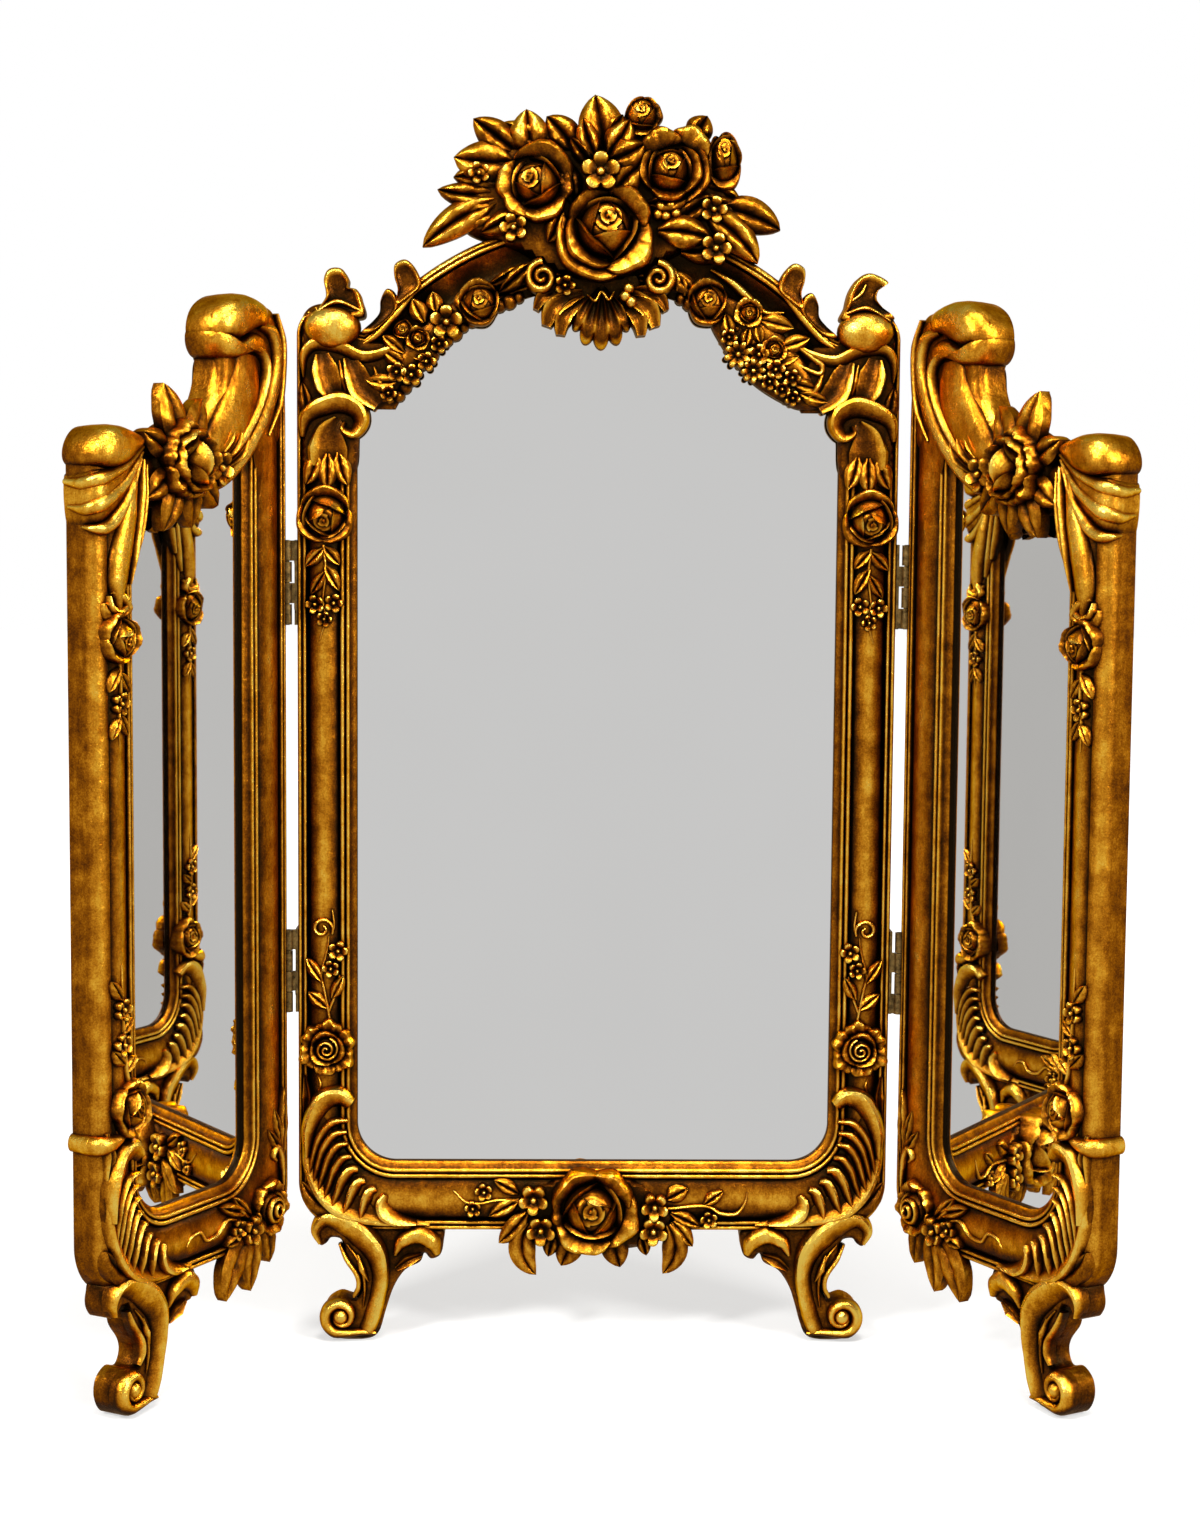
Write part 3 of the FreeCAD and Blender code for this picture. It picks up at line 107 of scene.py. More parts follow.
def spline(points, n, closed=False):
    """n points on a smooth curve through the given points."""
    p = np.asarray(points, float)
    if closed:
        p = np.vstack([p[-1:], p, p[:2]])
    else:
        p = np.vstack([2 * p[0] - p[1], p, 2 * p[-1] - p[-2]])
    spans = len(p) - 3
    out = []
    for x in np.linspace(0, spans, n, endpoint=not closed):
        i = min(int(x), spans - 1)
        t = x - i
        a, b, c, d = p[i : i + 4]
        begun = 2 * b + (c - a) * t + (2 * a - 5 * b + 4 * c - d) * t**2
        out.append(0.5 * (begun + (3 * b - a - 3 * c + d) * t**3))
    return np.array(out)


def polar(u, v, radius, angle, squeeze=1):
    """Points about a middle; angles in radians."""
    return u + radius * np.cos(angle), v + squeeze * radius * np.sin(angle)


def spiral(u, v, outer, inner, start, turns, n=30):
    """Points of a spiral from its outer end to its eye; angles in turns."""
    t = np.linspace(0, 1, n)
    radius = outer + (inner - outer) * t
    angle = TAU * (start + turns * t)
    return np.stack(polar(u, v, radius, angle), 1)


def arc(u, v, radius, first, last, n):
    """Points of an arc, angles in degrees."""
    return np.stack(polar(u, v, radius, np.radians(np.linspace(first, last, n))), 1)


def side_of(points, closed=False):
    """Unit vectors to the left of a path's direction."""
    if closed:
        along = np.roll(points, -1, 0) - np.roll(points, 1, 0)
    else:
        along = np.gradient(points, axis=0)
    along = along / np.maximum(np.linalg.norm(along, axis=1, keepdims=True), 1e-9)
    return np.stack([-along[:, 1], along[:, 0]], 1)


def quads(at, wrap=False):
    """Four-sided faces of a grid of point numbers, closed across its columns if wrapped."""
    if wrap:
        at = np.concatenate([at, at[:, :1]], 1)
    return np.stack([at[:-1, :-1], at[1:, :-1], at[1:, 1:], at[:-1, 1:]], -1).reshape(-1, 4)


def flipped(form):
    """A cross-section turned left for right."""
    return [(-x, h, wear_and_painted_light) for x, h, wear_and_painted_light in form[::-1]]


# Cross-sections of a carved stroke: place across, height, and brightness: wear on the heights, with painted
# highlights and painted shade across the stroke
ROUND = [(-math.cos(a), math.sin(a), math.sin(a) ** 0.65) for a in np.linspace(0, math.pi, 9)]
GUTTER = [(-1, 0, 0.4), (-0.95, 0.6, 0.85), (-0.8, 1, 1), (-0.6, 0.9, 0.8), (-0.3, 0.62, 0.42),
          (0, 0.52, 0.36)]
GUTTER += flipped(GUTTER[:-1])
CREASE = [(-1, 0, 0.35), (-0.92, 0.5, 0.75), (-0.72, 0.88, 1), (-0.42, 1, 1), (-0.05, 0.88, 0.8),
          (0.35, 0.64, 0.52), (0.72, 0.36, 0.32), (1, 0, 0.15)]
SCOOP = [(-1, 0, 0.2), (-0.9, 0.62, 0.6), (-0.74, 0.6, 0.3), (-0.4, 0.44, 0.1), (0, 0.46, 0.12),
         (0.36, 0.7, 0.36), (0.6, 0.96, 0.95), (0.8, 1, 1), (0.93, 0.7, 0.8), (1, 0, 0.3)]

# Petals wrapped round a bud, from the inside out: how near the tip each starts and half its span, in
# degrees, and its place round the bud, in turns
BUD_WRAPS = ((20, 84, 0), (28, 80, 0.37), (36, 78, 0.7), (50, 74, 0.17), (58, 70, 0.53), (64, 68, 0.87))

# Across a petal, and across a small flower: how far out, height and brightness, with painted highlights on
# the rims and painted shade towards the middle and the foot
PETAL = [(0, 0.66, 0.2), (0.08, 0.74, 0.5), (0.3, 0.84, 0.66), (0.52, 0.94, 0.86), (0.7, 1, 1),
         (0.84, 0.92, 1), (0.94, 0.68, 0.75), (1, 0.2, 0.4)]
BLOSSOM = [(0.2, 0.3, 0), (0.42, 0.44, 0.12), (0.6, 0.78, 0.6), (0.78, 1, 1), (0.92, 0.92, 1),
           (1, 0.4, 0.5), (1, -0.8, 0)]


class Relief:
    """Carved closed forms gathered into one mesh, with a brightness at each point: wear of the gilding,
    painted highlights and painted shade.
    """

    def __init__(self):
        self.points = []
        self.faces = []
        self.wear_and_painted_light = []
        self.count = 0

    def add(self, points, groups, wear_and_painted_light):
        """Points, arrays of faces wound alike, and the brightness of wear and painted light; the faces are
        turned to face out.
        """
        points = np.asarray(points, float).reshape(-1, 3)
        groups = [np.asarray(g, int) for g in groups]
        volume = 0.0
        for g in groups:
            p = points[g]
            for i in range(1, g.shape[1] - 1):
                volume += (p[:, 0] * np.cross(p[:, i], p[:, i + 1])).sum()
        for g in groups:
            self.faces.append((g if volume > 0 else g[:, ::-1]) + self.count)
        self.points.append(points)
        self.wear_and_painted_light.append(np.broadcast_to(np.asarray(wear_and_painted_light, float).reshape(-1), len(points)))
        self.count += len(points)

    def shell(self, top, bottom, wear_and_painted_light):
        """A closed form between two grids of points with the same rim."""
        n = top.shape[0] * top.shape[1]
        at = np.arange(n).reshape(top.shape[:2])
        rim = np.concatenate([at[0, :-1], at[:-1, -1], at[-1, :0:-1], at[:0:-1, 0]])
        ahead = np.roll(rim, -1)
        wall = np.stack([rim, ahead, ahead + n, rim + n], 1)
        wear_and_painted_light = np.broadcast_to(wear_and_painted_light, at.shape).ravel()
        # The back grid is held dark: painted shade underneath
        self.add(np.concatenate([top.reshape(-1, 3), bottom.reshape(-1, 3)]),
                 [quads(at), quads(at)[:, ::-1] + n, wall],
                 np.concatenate([wear_and_painted_light, np.minimum(wear_and_painted_light, UNDERSIDE_PAINTED_SHADE)]))

    def slab(self, u, v, w, under, wear_and_painted_light):
        """A closed form from a grid of points straight back to the depth under it."""
        u, v, w, under = np.broadcast_arrays(u, v, w, under)
        self.shell(np.stack([u, v, w], 2), np.stack([u, v, under], 2), wear_and_painted_light)

    def lid(self, apex, rings, apex_wear_and_painted_light, wear_and_painted_light):
        """A closed form of rings about an apex, flat underneath."""
        rows, cols = rings.shape[:2]
        at = 1 + np.arange(rows * cols).reshape(rows, cols)
        fan = np.stack([np.zeros(cols, int), at[0], np.roll(at[0], -1)], 1)
        wear_and_painted_light = np.broadcast_to(wear_and_painted_light, (rows, cols)).ravel()
        self.add(np.concatenate([[apex], rings.reshape(-1, 3)]), [fan, quads(at, True), at[-1:, ::-1]],
                 np.concatenate([[apex_wear_and_painted_light], wear_and_painted_light]))

    def stroke(self, path, width, height, base=0, sink=2, form=ROUND, n=26, bright=1):
        """A carved ridge along a path, with its width, height and base given along it."""
        p = spline(path, n)
        t = np.linspace(0, 1, n)
        wide = np.maximum(spread(width, t), 0.03)[:, None]
        tall = spread(height, t)[:, None]
        foot = spread(base, t)[:, None]
        normal = side_of(p)
        across, rise, wear_and_painted_light = np.array(form).T[:, None, :]
        u = p[:, :1] + normal[:, :1] * wide * across
        v = p[:, 1:] + normal[:, 1:] * wide * across
        self.slab(u, v, foot + tall * rise, foot - sink, wear_and_painted_light * bright)

    def leaf(self, root, tip, half, low, high, bow=0, bright=1, camber=1, thick=1.6, swell=0, rows=15,
             cols=11):
        """A pointed leaf with a sunk rib and two rounded halves; low and high are w at its root and tip."""
        root, tip = np.asarray(root, float), np.asarray(tip, float)
        along = tip - root
        length = np.linalg.norm(along)
        left = np.array([-along[1], along[0]]) / length
        t = np.linspace(0, 1, rows)[:, None]
        x = np.linspace(-1, 1, cols)[None, :]
        out = np.abs(x)
        middle = (root + tip) / 2 + left * bow * length * 2
        spine = (1 - t) ** 2 * root + 2 * t * (1 - t) * middle + t**2 * tip
        normal = side_of(spine)
        wide = half * np.maximum(np.sin(math.pi * t**0.9) ** 0.7, 0.3 * (1 - t))
        hump = 1 - ((out - 0.45) / 0.45) ** 2
        vein = 0.1 * np.cos(TAU * (3.5 * t - 1.2 * out))
        lip = 0.35 * (out > 0.95)
        lift = low + (high - low) * t + swell * np.sin(math.pi * t)
        fade = np.sin(math.pi * np.clip(t * 0.92 + 0.06, 0, 1)) ** 0.6
        w = lift + camber * (hump * (1 + vein) + lip) * fade
        u = spine[:, :1] + normal[:, :1] * wide * x
        v = spine[:, 1:] + normal[:, 1:] * wide * x
        # Painted highlight on the humps, the edges and the raised veins, painted shade in the rib
        wear_and_painted_light = np.clip(0.3 + 0.4 * hump + 0.45 * (out > 0.8) + 1.3 * vein + 0.1 * t, 0.02, 1)
        self.slab(u, v, w, w - thick, wear_and_painted_light * bright)

    def dome(self, u, v, base, across, rise, rows=9, cols=20, wear_and_painted_light=(0.25, 1)):
        """A rounded boss; across may be two half-widths."""
        sink = 1.5
        a, b = np.broadcast_to(across, 2)
        q = np.linspace(0, 1, rows)[1:]
        angle = np.arange(cols) * TAU / cols
        tall = np.cos(q * math.pi / 2)
        wide = np.sin(q * math.pi / 2)
        low, high = wear_and_painted_light
        # Painted highlight on the top, painted shade towards the foot
        shade = np.clip(low + (high - low) * np.clip(1.6 * tall, 0, 1) ** 0.7, 0, 1)
        tall = np.append(tall, -sink / rise)[:, None]
        wide = np.append(wide, wide[-1])[:, None]
        shade = np.append(shade, low)[:, None]
        rings = np.stack([u + a * wide * np.cos(angle), v + b * wide * np.sin(angle),
                          base + rise * tall + 0 * angle], 2)
        self.lid((u, v, base + rise), rings, high, shade)

    def bud(self, u, v, base, radius, rise, turn=0, lean=(0, 0), swirl=0.12, bright=1):
        """A closed rosebud: a dome with a swirl at its tip and petals wrapped round it, tipped by lean."""
        a, b = np.broadcast_to(radius, 2)
        core, core_end, deepest = 0.77, 125, -1.2
        swirl_pitch, swirl_end, swirl_fade = 17, 48, 20
        axis = np.array([lean[0], lean[1], 1.0])
        axis = axis / np.linalg.norm(axis)
        across = np.array([axis[2], 0.0, -axis[0]])
        across = across / np.linalg.norm(across)
        up = np.cross(axis, across)

        def placed(theta, fi, size):
            """Points at angles from the tip and round the bud, no deeper than the ground allows."""
            d = (np.sin(theta) * np.cos(fi))[..., None] * across
            d = d + (np.sin(theta) * np.sin(fi))[..., None] * up
            d = (d + np.cos(theta)[..., None] * axis) * size[..., None]
            w = base + np.maximum(rise * d[..., 2], deepest)
            return np.stack([u + a * d[..., 0], v + b * d[..., 1], w], -1)

        theta = np.radians(np.linspace(0, core_end, 26)[1:])[:, None]
        fi = (np.arange(44) * TAU / 44)[None, :]
        step = np.mod(fi / TAU + turn + np.degrees(theta) / swirl_pitch, 1)
        fade = np.clip((swirl_end - np.degrees(theta)) / swirl_fade, 0, 1)
        size = core + swirl * (step - 0.5) * fade
        # Painted highlight on the lip of each turn of the swirl, painted shade below it
        wear_and_painted_light = np.clip(0.15 + 0.85 * step * fade + 0.3 * (1 - fade), 0, 1)
        tip = placed(np.array(0.0), np.array(0.0), np.array(core))
        self.lid(tip, placed(theta + 0 * fi, fi + 0 * theta, size), 0.3 * bright, wear_and_painted_light * bright)
        x = np.linspace(-1, 1, 17)[None, :]
        t = np.linspace(0, 1, 12)[:, None]
        for layer, (lip, span, place) in enumerate(BUD_WRAPS):
            rim = lip + (112 - lip) * np.abs(x) ** 3
            theta = np.radians(rim + (126 - rim) * t**1.3)
            fi = TAU * (place + turn) + math.radians(span) * x + 0 * t
            edge = np.exp(-((t / 0.14) ** 2)) + 0.6 * np.exp(-(((1 - np.abs(x)) / 0.12) ** 2))
            size = 0.76 + 0.04 * layer + 0.08 * edge
            # Painted highlight on each wrapped petal's lip and edges
            wear_and_painted_light = np.clip(0.42 + 0.7 * edge + 0.34 * np.sin(math.pi * t), 0, 1)
            self.shell(placed(theta, fi, size), placed(theta, fi, size - 0.14), wear_and_painted_light * bright)

    def petal(self, u, v, base, inner, outer, middle, span, height, bright=1, wave=0.06, squeeze=1):
        """An open petal round a bud: a crescent that rises to a rolled lip. Angles in turns."""
        sink = 2
        t = np.linspace(0, 1, 26)[:, None]
        q, lip, shine = np.array(PETAL).T[:, None, :]
        angle = TAU * (middle + span * (t - 0.5))
        taper = np.maximum(np.sin(math.pi * t) ** 0.6, 0.05)
        ripple = 1 + wave * np.cos(TAU * (2.5 * t + middle * 3))
        near = inner + (outer - inner) * 0.3 * (1 - taper)
        far = near + (outer - near) * (0.12 + 0.88 * taper) * ripple
        radius = near + (far - near) * q
        crinkle = wave * np.sin(TAU * (3 * t + middle)) + 0.04 * np.sin(TAU * (9 * t + middle)) * q
        w = base + height * (0.35 + 0.65 * taper) * lip * (1 + crinkle)
        # Painted highlight on the rolled lip and painted shade by the bud, with a faint banding
        wear_and_painted_light = np.clip(shine * (0.86 + 0.14 * np.cos(TAU * (7 * t + middle))), 0, 1)
        self.slab(*polar(u, v, radius, angle, squeeze), w, base - sink, wear_and_painted_light * bright)

    def rose(self, u, v, base, radius, rise, turn):
        """A small open rose: a bud with a ring of petals round it."""
        petals = 4
        self.bud(u, v, base, radius * 0.66, rise, turn)
        for k in range(petals):
            place = turn + (k + 0.15 * math.sin(5 * k + turn * 9)) / petals
            far = radius * (1 + 0.06 * math.sin(7 * k + 3 * turn))
            tall = rise * (0.45 + 0.1 * (k % 2))
            self.petal(u, v, base - 0.3, radius * 0.6, far, place, 1.3 / petals, tall, wave=0.08)

    def blossom(self, u, v, base, radius, rise=1.6, petals=5, turn=0.1):
        """A small flower: cupped petals with a painted highlight at the rim, round a bead in a middle of
        painted shade.
        """
        cols = petals * 12
        angle = np.arange(cols) * TAU / cols
        lobe = np.abs(np.cos(petals / 2 * (angle - TAU * turn))) ** 0.6
        out, tall, shade = np.array(BLOSSOM).T[:, :, None]
        reach = radius * out * (1 - 0.4 * (1 - lobe) * np.clip(2 * out - 0.6, 0, 1))
        cupped = np.where(tall > 0, tall * (0.5 + 0.5 * lobe), tall)
        rings = np.stack([*polar(u, v, reach, angle), base + rise * cupped], 2)
        self.lid((u, v, base + 0.2 * rise), rings, 0.0, shade * (0.25 + 0.75 * lobe))
        self.dome(u, v, base + 0.1 * rise, radius * 0.25, rise * 0.95, 6, 10, (0, 1))

    def pillow(self, outline, low, high, edge, spacing, bright, soft=None, n=None):
        """A plate with a rounded front edge, soft deep, on a grid of the given spacing."""
        n = n or 8 * len(outline)
        rim = spline(outline, n, True)
        (left, bottom), (right, top) = rim.min(0), rim.max(0)
        rows = np.arange(bottom, top, spacing * 0.87)
        gu, gv = np.meshgrid(np.arange(left, right, spacing), rows, indexing="ij")
        gu = gu + np.where(np.arange(len(rows))[None, :] % 2, spacing / 2, 0)
        inner = np.stack([gu.ravel(), gv.ravel()], 1)
        a, b = rim, np.roll(rim, -1, 0)
        ab = b - a
        length = np.maximum((ab**2).sum(1), 1e-12)

        def distance(points):
            """How far each point is from the rim."""
            ap = points[:, None, :] - a[None]
            t = np.clip((ap * ab[None]).sum(2) / length, 0, 1)
            gap = ap - t[..., None] * ab[None]
            return np.sqrt((gap**2).sum(2)).min(1)

        u, v = inner[:, None, 0], inner[:, None, 1]
        slope = ab[:, 0] / np.where(ab[:, 1] == 0, 1e-12, ab[:, 1])
        rising = (a[None, :, 1] > v) != (b[None, :, 1] > v)
        crossed = rising & (u < slope * (v - a[None, :, 1]) + a[None, :, 0])
        inner = inner[crossed.sum(1) % 2 == 1]
        inner = inner[distance(inner) > spacing * 0.45]
        flat = [Vector(p) for p in rim] + [Vector(p) for p in inner]
        found = delaunay_2d_cdt(flat, [(i, (i + 1) % n) for i in range(n)], [], 1, 1e-6)
        flat = np.array([tuple(p) for p in found[0]])
        triangles = np.array([list(f) for f in found[2]])
        corner = flat[triangles]
        one, two = corner[:, 1] - corner[:, 0], corner[:, 2] - corner[:, 0]
        turned = one[:, 0] * two[:, 1] < one[:, 1] * two[:, 0]
        triangles[turned] = triangles[turned][:, ::-1]
        k = np.clip(distance(flat) / edge, 0, 1)
        w = high - (soft or edge) * (1 - np.sqrt(np.maximum(1 - (1 - k) ** 2, 0)))
        # Painted shade towards the rounded edge, and darker still on the wall
        wear_and_painted_light = bright * (0.55 + 0.45 * k)
        place = {ids[0]: i for i, ids in enumerate(found[3]) if ids and ids[0] < n}
        ring = np.array([place[i] for i in range(n) if i in place])
        if (a[:, 0] * b[:, 1] - b[:, 0] * a[:, 1]).sum() < 0:
            ring = ring[::-1]
        m = len(ring)
        below = len(flat) + np.arange(m)
        wall = np.stack([np.roll(ring, -1), ring, below, np.roll(below, -1)], 1)
        points = np.concatenate([np.column_stack([flat, w]), np.column_stack([flat[ring], np.full(m, low)])])
        wear_and_painted_light = np.concatenate([wear_and_painted_light, np.full(m, min(0.2, bright))])
        self.add(points, [triangles, wall, below[None, ::-1]], wear_and_painted_light)

    def turned(self, outline, rows, centre, bright):
        """Rings of one outline drawn in towards its centre: scale, w and the brightness of wear and painted
        light, from the middle to the back.
        """
        n = 72
        rim = spline(outline, n, True)
        middle = np.asarray(centre, float)
        scale, w, wear_and_painted_light = np.array(rows, float).T[:, :, None]
        flat = middle + (rim - middle)[None] * scale[:, :, None]
        rings = np.concatenate([flat, np.repeat(w[:, :, None], n, 1)], 2)
        self.lid((*middle, w[0, 0]), rings, wear_and_painted_light[0, 0] * bright, wear_and_painted_light * bright)

    def cup(self, outline, low, high, hollow, centre, bright):
        """A leaf or lobe with a raised rim round a hollow; a painted highlight on the rim and painted shade
        in the hollow.
        """
        deep = high - hollow
        rows = [(0.2, deep, 0.14), (0.52, deep + 0.08 * hollow, 0.16), (0.7, deep + 0.4 * hollow, 0.3),
                (0.8, deep + 0.9 * hollow, 0.85), (0.86, high, 1), (0.92, high - 0.2, 1),
                (0.97, high - 0.9, 0.6), (1, high - 1.9, 0.35), (1, low, 0.15)]
        self.turned(outline, rows, centre, bright)

    def pebble(self, outline, back, high, centre, bright):
        """A rounded mass, bulging all round between its back and its front."""
        belly = (back + high) / 2
        # Brightness: painted highlight on the front, painted shade round the back
        rows = [(0.2, high, 0.9), (0.45, high - 0.3, 0.9), (0.65, high - 1, 0.85), (0.82, high - 2.4, 0.75),
                (0.94, (high + belly) / 2 - 0.8, 0.65), (1, belly, 0.55), (0.985, (back + belly) / 2, 0.45),
                (0.94, back + 0.6, 0.3), (0.88, back, 0.15)]
        self.turned(outline, rows, centre, bright)

    def fan(self, u, v, reach, open_by, lobes, base, tall):
        """A scallop shell hanging from u, v: hollow flutes between thin ridges, with a lobed edge."""
        a = np.linspace(-1, 1, lobes * 10 + 1)[:, None]
        q = np.linspace(0.1, 1, 18)[None, :]
        ridge = np.abs(2 * np.mod((a + 1) / 2 * lobes, 1) - 1)
        far = reach * (1 - 0.14 * ridge**2) * (1 - 0.3 * a**2)
        angle = math.radians(270) + math.radians(open_by) * a
        w = base + tall * (0.5 + 0.5 * q) + 1.5 * ridge**2 * np.sin(math.pi * q**0.8) - tall * q**12
        # Painted highlight on the ridges and the edge, painted shade in the flutes
        wear_and_painted_light = np.clip(0.18 + 0.82 * ridge**4 + 0.8 * (q > 0.92), 0, 1)
        self.slab(*polar(u, v, far * q, angle), w, base - 2.6, wear_and_painted_light)

    def mirrored(self):
        """The same carving turned left for right."""
        other = Relief()
        other.points = [p * np.array([-1.0, 1.0, 1.0]) for p in self.points]
        other.faces = [f[:, ::-1] for f in self.faces]
        other.wear_and_painted_light = list(self.wear_and_painted_light)
        other.count = self.count
        return other

    def join(self, other):
        """This carving with another one added."""
        self.faces += [f + self.count for f in other.faces]
        self.points += other.points
        self.wear_and_painted_light += other.wear_and_painted_light
        self.count += other.count
        return self


def stood(panel, points):
    """Panel millimetres as the frame's metres."""
    u, v, w = np.asarray(points).T
    if panel == "centre":
        out = np.stack([u, FRONT_Y - w, v], 1)
    else:
        x = WINGS[panel] * (AXIS_U + u * math.cos(FOLD) - w * math.sin(FOLD))
        out = np.stack([x, FRONT_Y - u * math.sin(FOLD) - w * math.cos(FOLD), v], 1)
    return out * MM


def new_object(name, data):
    """An object in the scene that shows the data."""
    obj = bpy.data.objects.new(name, data)
    bpy.context.scene.collection.objects.link(obj)
    return obj


def piece(name, panel, relief, node):
    """A gilded mesh on its panel that rides with the panel's body and stands for a node."""
    points = stood(panel, np.concatenate(relief.points))
    faces = [f for group in relief.faces for f in group.tolist()]
    if panel == "left_wing":
        faces = [f[::-1] for f in faces]
    mesh = bpy.data.meshes.new(name)
    mesh.from_pydata(points.tolist(), [], faces)
    # Brightness of wear, painted highlights and painted shade, kept at each point for the gilt
    wear_and_painted_light = np.concatenate(relief.wear_and_painted_light).astype(np.float32)
    mesh.attributes.new("wear_and_painted_light", "FLOAT", "POINT").data.foreach_set("value", wear_and_painted_light)
    mesh.polygons.foreach_set("use_smooth", [True] * len(mesh.polygons))
    mesh.set_sharp_from_angle(angle=SMOOTH_ANGLE)
    mesh.materials.append(GILT)
    mesh.update()
    obj = new_object(name, mesh)
    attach(obj, panel)
    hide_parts(node)


# Materials


def plug(tree, made, sockets):
    """Give a node's inputs their values, or links where another node's output is given."""
    for key, source in sockets.items():
        if isinstance(source, bpy.types.NodeSocket):
            tree.links.new(source, made.inputs[key])
        else:
            made.inputs[key].default_value = source


def node(tree, kind, sockets=None, **settings):
    """A shader node with its settings and inputs."""
    made = tree.nodes.new(kind)
    for key, value in settings.items():
        setattr(made, key, value)
    plug(tree, made, sockets or {})
    return made


def new_material(name):
    """A material with its node tree, its shader and the place on the object that textures read."""
    material = bpy.data.materials.new(name)
    material.use_nodes = True
    tree = material.node_tree
    where = node(tree, "ShaderNodeTexCoord").outputs["Object"]
    return material, tree, tree.nodes["Principled BSDF"], where


def maths(tree, operation, *values, clamp=False):
    sockets = dict(enumerate(values))
    return node(tree, "ShaderNodeMath", sockets, operation=operation, use_clamp=clamp).outputs[0]


def blend(tree, first, share, second):
    """A share of one value with the rest of another."""
    rest = maths(tree, "MULTIPLY", second, 1 - share)
    return maths(tree, "ADD", maths(tree, "MULTIPLY", first, share), rest)


def noise(tree, where, scale, detail=4, rough=0.55):
    sockets = {"Scale": scale, "Detail": detail, "Roughness": rough, "Vector": where}
    return node(tree, "ShaderNodeTexNoise", sockets).outputs["Fac"]


def stretched(tree, where, up):
    """The same place, drawn out along the height."""
    return node(tree, "ShaderNodeMapping", {"Scale": (1, 1, up), "Vector": where}).outputs[0]


def span(tree, value, to, source=(0, 1)):
    """A value carried from one range to another and held inside it."""
    sockets = {"Value": value, "From Min": source[0], "From Max": source[1], "To Min": to[0], "To Max": to[1]}
    return node(tree, "ShaderNodeMapRange", sockets).outputs[0]


def bump(tree, height, strength, distance):
    sockets = {"Strength": strength, "Distance": distance, "Height": height}
    return node(tree, "ShaderNodeBump", sockets).outputs["Normal"]


def ramp(tree, value, stops):
    """A value as a colour, from stops of place and colour."""
    made = node(tree, "ShaderNodeValToRGB", {"Fac": value})
    band = made.color_ramp
    while len(band.elements) < len(stops):
        band.elements.new(0.5)
    for element, (place, colour) in zip(band.elements, stops):
        element.position = place
        element.color = (*colour, 1)
    return made.outputs["Color"]


GOLD = [
    (0.0, (0.004, 0.0012, 0.0004)),
    (0.18, (0.035, 0.008, 0.001)),
    (0.36, (0.14, 0.036, 0.002)),
    (0.52, (0.34, 0.103, 0.004)),
    (0.7, (0.66, 0.25, 0.012)),
    (0.86, (0.95, 0.47, 0.035)),
    (1.0, (1.0, 0.66, 0.1)),
]
SILVERING = [(0.3, (0.86, 0.855, 0.845)), (0.7, (0.875, 0.87, 0.86))]
STAIN = [(0.3, (0.05, 0.024, 0.01)), (0.52, (0.13, 0.065, 0.027)), (0.72, (0.2, 0.11, 0.05))]


def gilt_material():
    """Antique gilding: bright on the heights, red-brown on the flats, near black in the hollows. The
    brightness is wear with painted highlights, faces turned up get painted light from above, and the dark of
    the hollows is patina with painted shade.
    """
    material, tree, shader, where = new_material("antique_gilt")
    # Brightness of wear, painted highlights and painted shade, read from each point
    wear_and_painted_light = node(tree, "ShaderNodeAttribute", attribute_name="wear_and_painted_light").outputs["Fac"]
    # Ambient occlusion darkens the hollows and the gaps between parts: painted shade, together with the
    # patina of the hollows
    hollow = node(tree, "ShaderNodeAmbientOcclusion", {"Distance": 0.005}, samples=8).outputs["AO"]
    # Faces turned up are made lighter: painted light from above
    facing = node(tree, "ShaderNodeNewGeometry").outputs["Normal"]
    above = node(tree, "ShaderNodeSeparateXYZ", {0: facing}).outputs["Z"]
    cloud = noise(tree, where, 85, 3, 0.5)
    patch = noise(tree, where, 230, 4, 0.6)
    streak = noise(tree, stretched(tree, where, 0.12), 620, 3, 0.6)
    speck = noise(tree, where, 1900, 3, 0.7)
    tone = maths(tree, "MULTIPLY_ADD", wear_and_painted_light, 0.7, 0.155)
    # Each part shifts the tone: faces turned up lighter with painted light, occluded hollows darker with
    # painted shade and patina, and random clouds, patches, streaks and specks
    parts = ((above, 0, 0.17), (hollow, 0.9, 1.05), (cloud, 0.5, 0.5), (patch, 0.5, 0.6), (streak, 0.5, 0.3),
             (speck, 0.5, 0.55))
    for value, middle, share in parts:
        part = maths(tree, "MULTIPLY", maths(tree, "SUBTRACT", value, middle), share)
        tone = maths(tree, "ADD", tone, part)
    tone = maths(tree, "MAXIMUM", tone, 0, clamp=True)
    plug(tree, shader, {
        "Base Color": ramp(tree, tone, GOLD),
        "Metallic": span(tree, tone, (0.75, 1), (0.1, 0.5)),
        "Roughness": span(tree, tone, (0.38, 0.27), (0.1, 0.9)),
        "Specular Tint": (1.0, 0.62, 0.15, 1),
        "Normal": bump(tree, blend(tree, noise(tree, where, 520), 0.75, speck), 0.42, 0.0008),
    })
    return material


def mirror_material():
    """Silvered glass, very slightly uneven."""
    material, tree, shader, where = new_material("silvered_glass")
    plug(tree, shader, {
        "Base Color": ramp(tree, noise(tree, where, 14, 2), SILVERING),
        "Metallic": 1.0,
        "Roughness": span(tree, noise(tree, where, 40), (0.006, 0.016)),
    })
    return material


def board_material():
    """Stained backing board with grain up and down."""
    material, tree, shader, where = new_material("stained_board")
    grain = noise(tree, stretched(tree, where, 0.06), 420, 5, 0.65)
    plug(tree, shader, {
        "Base Color": ramp(tree, grain, STAIN),
        "Roughness": 0.62,
        "Normal": bump(tree, grain, 0.3, 0.0005),
    })
    return material


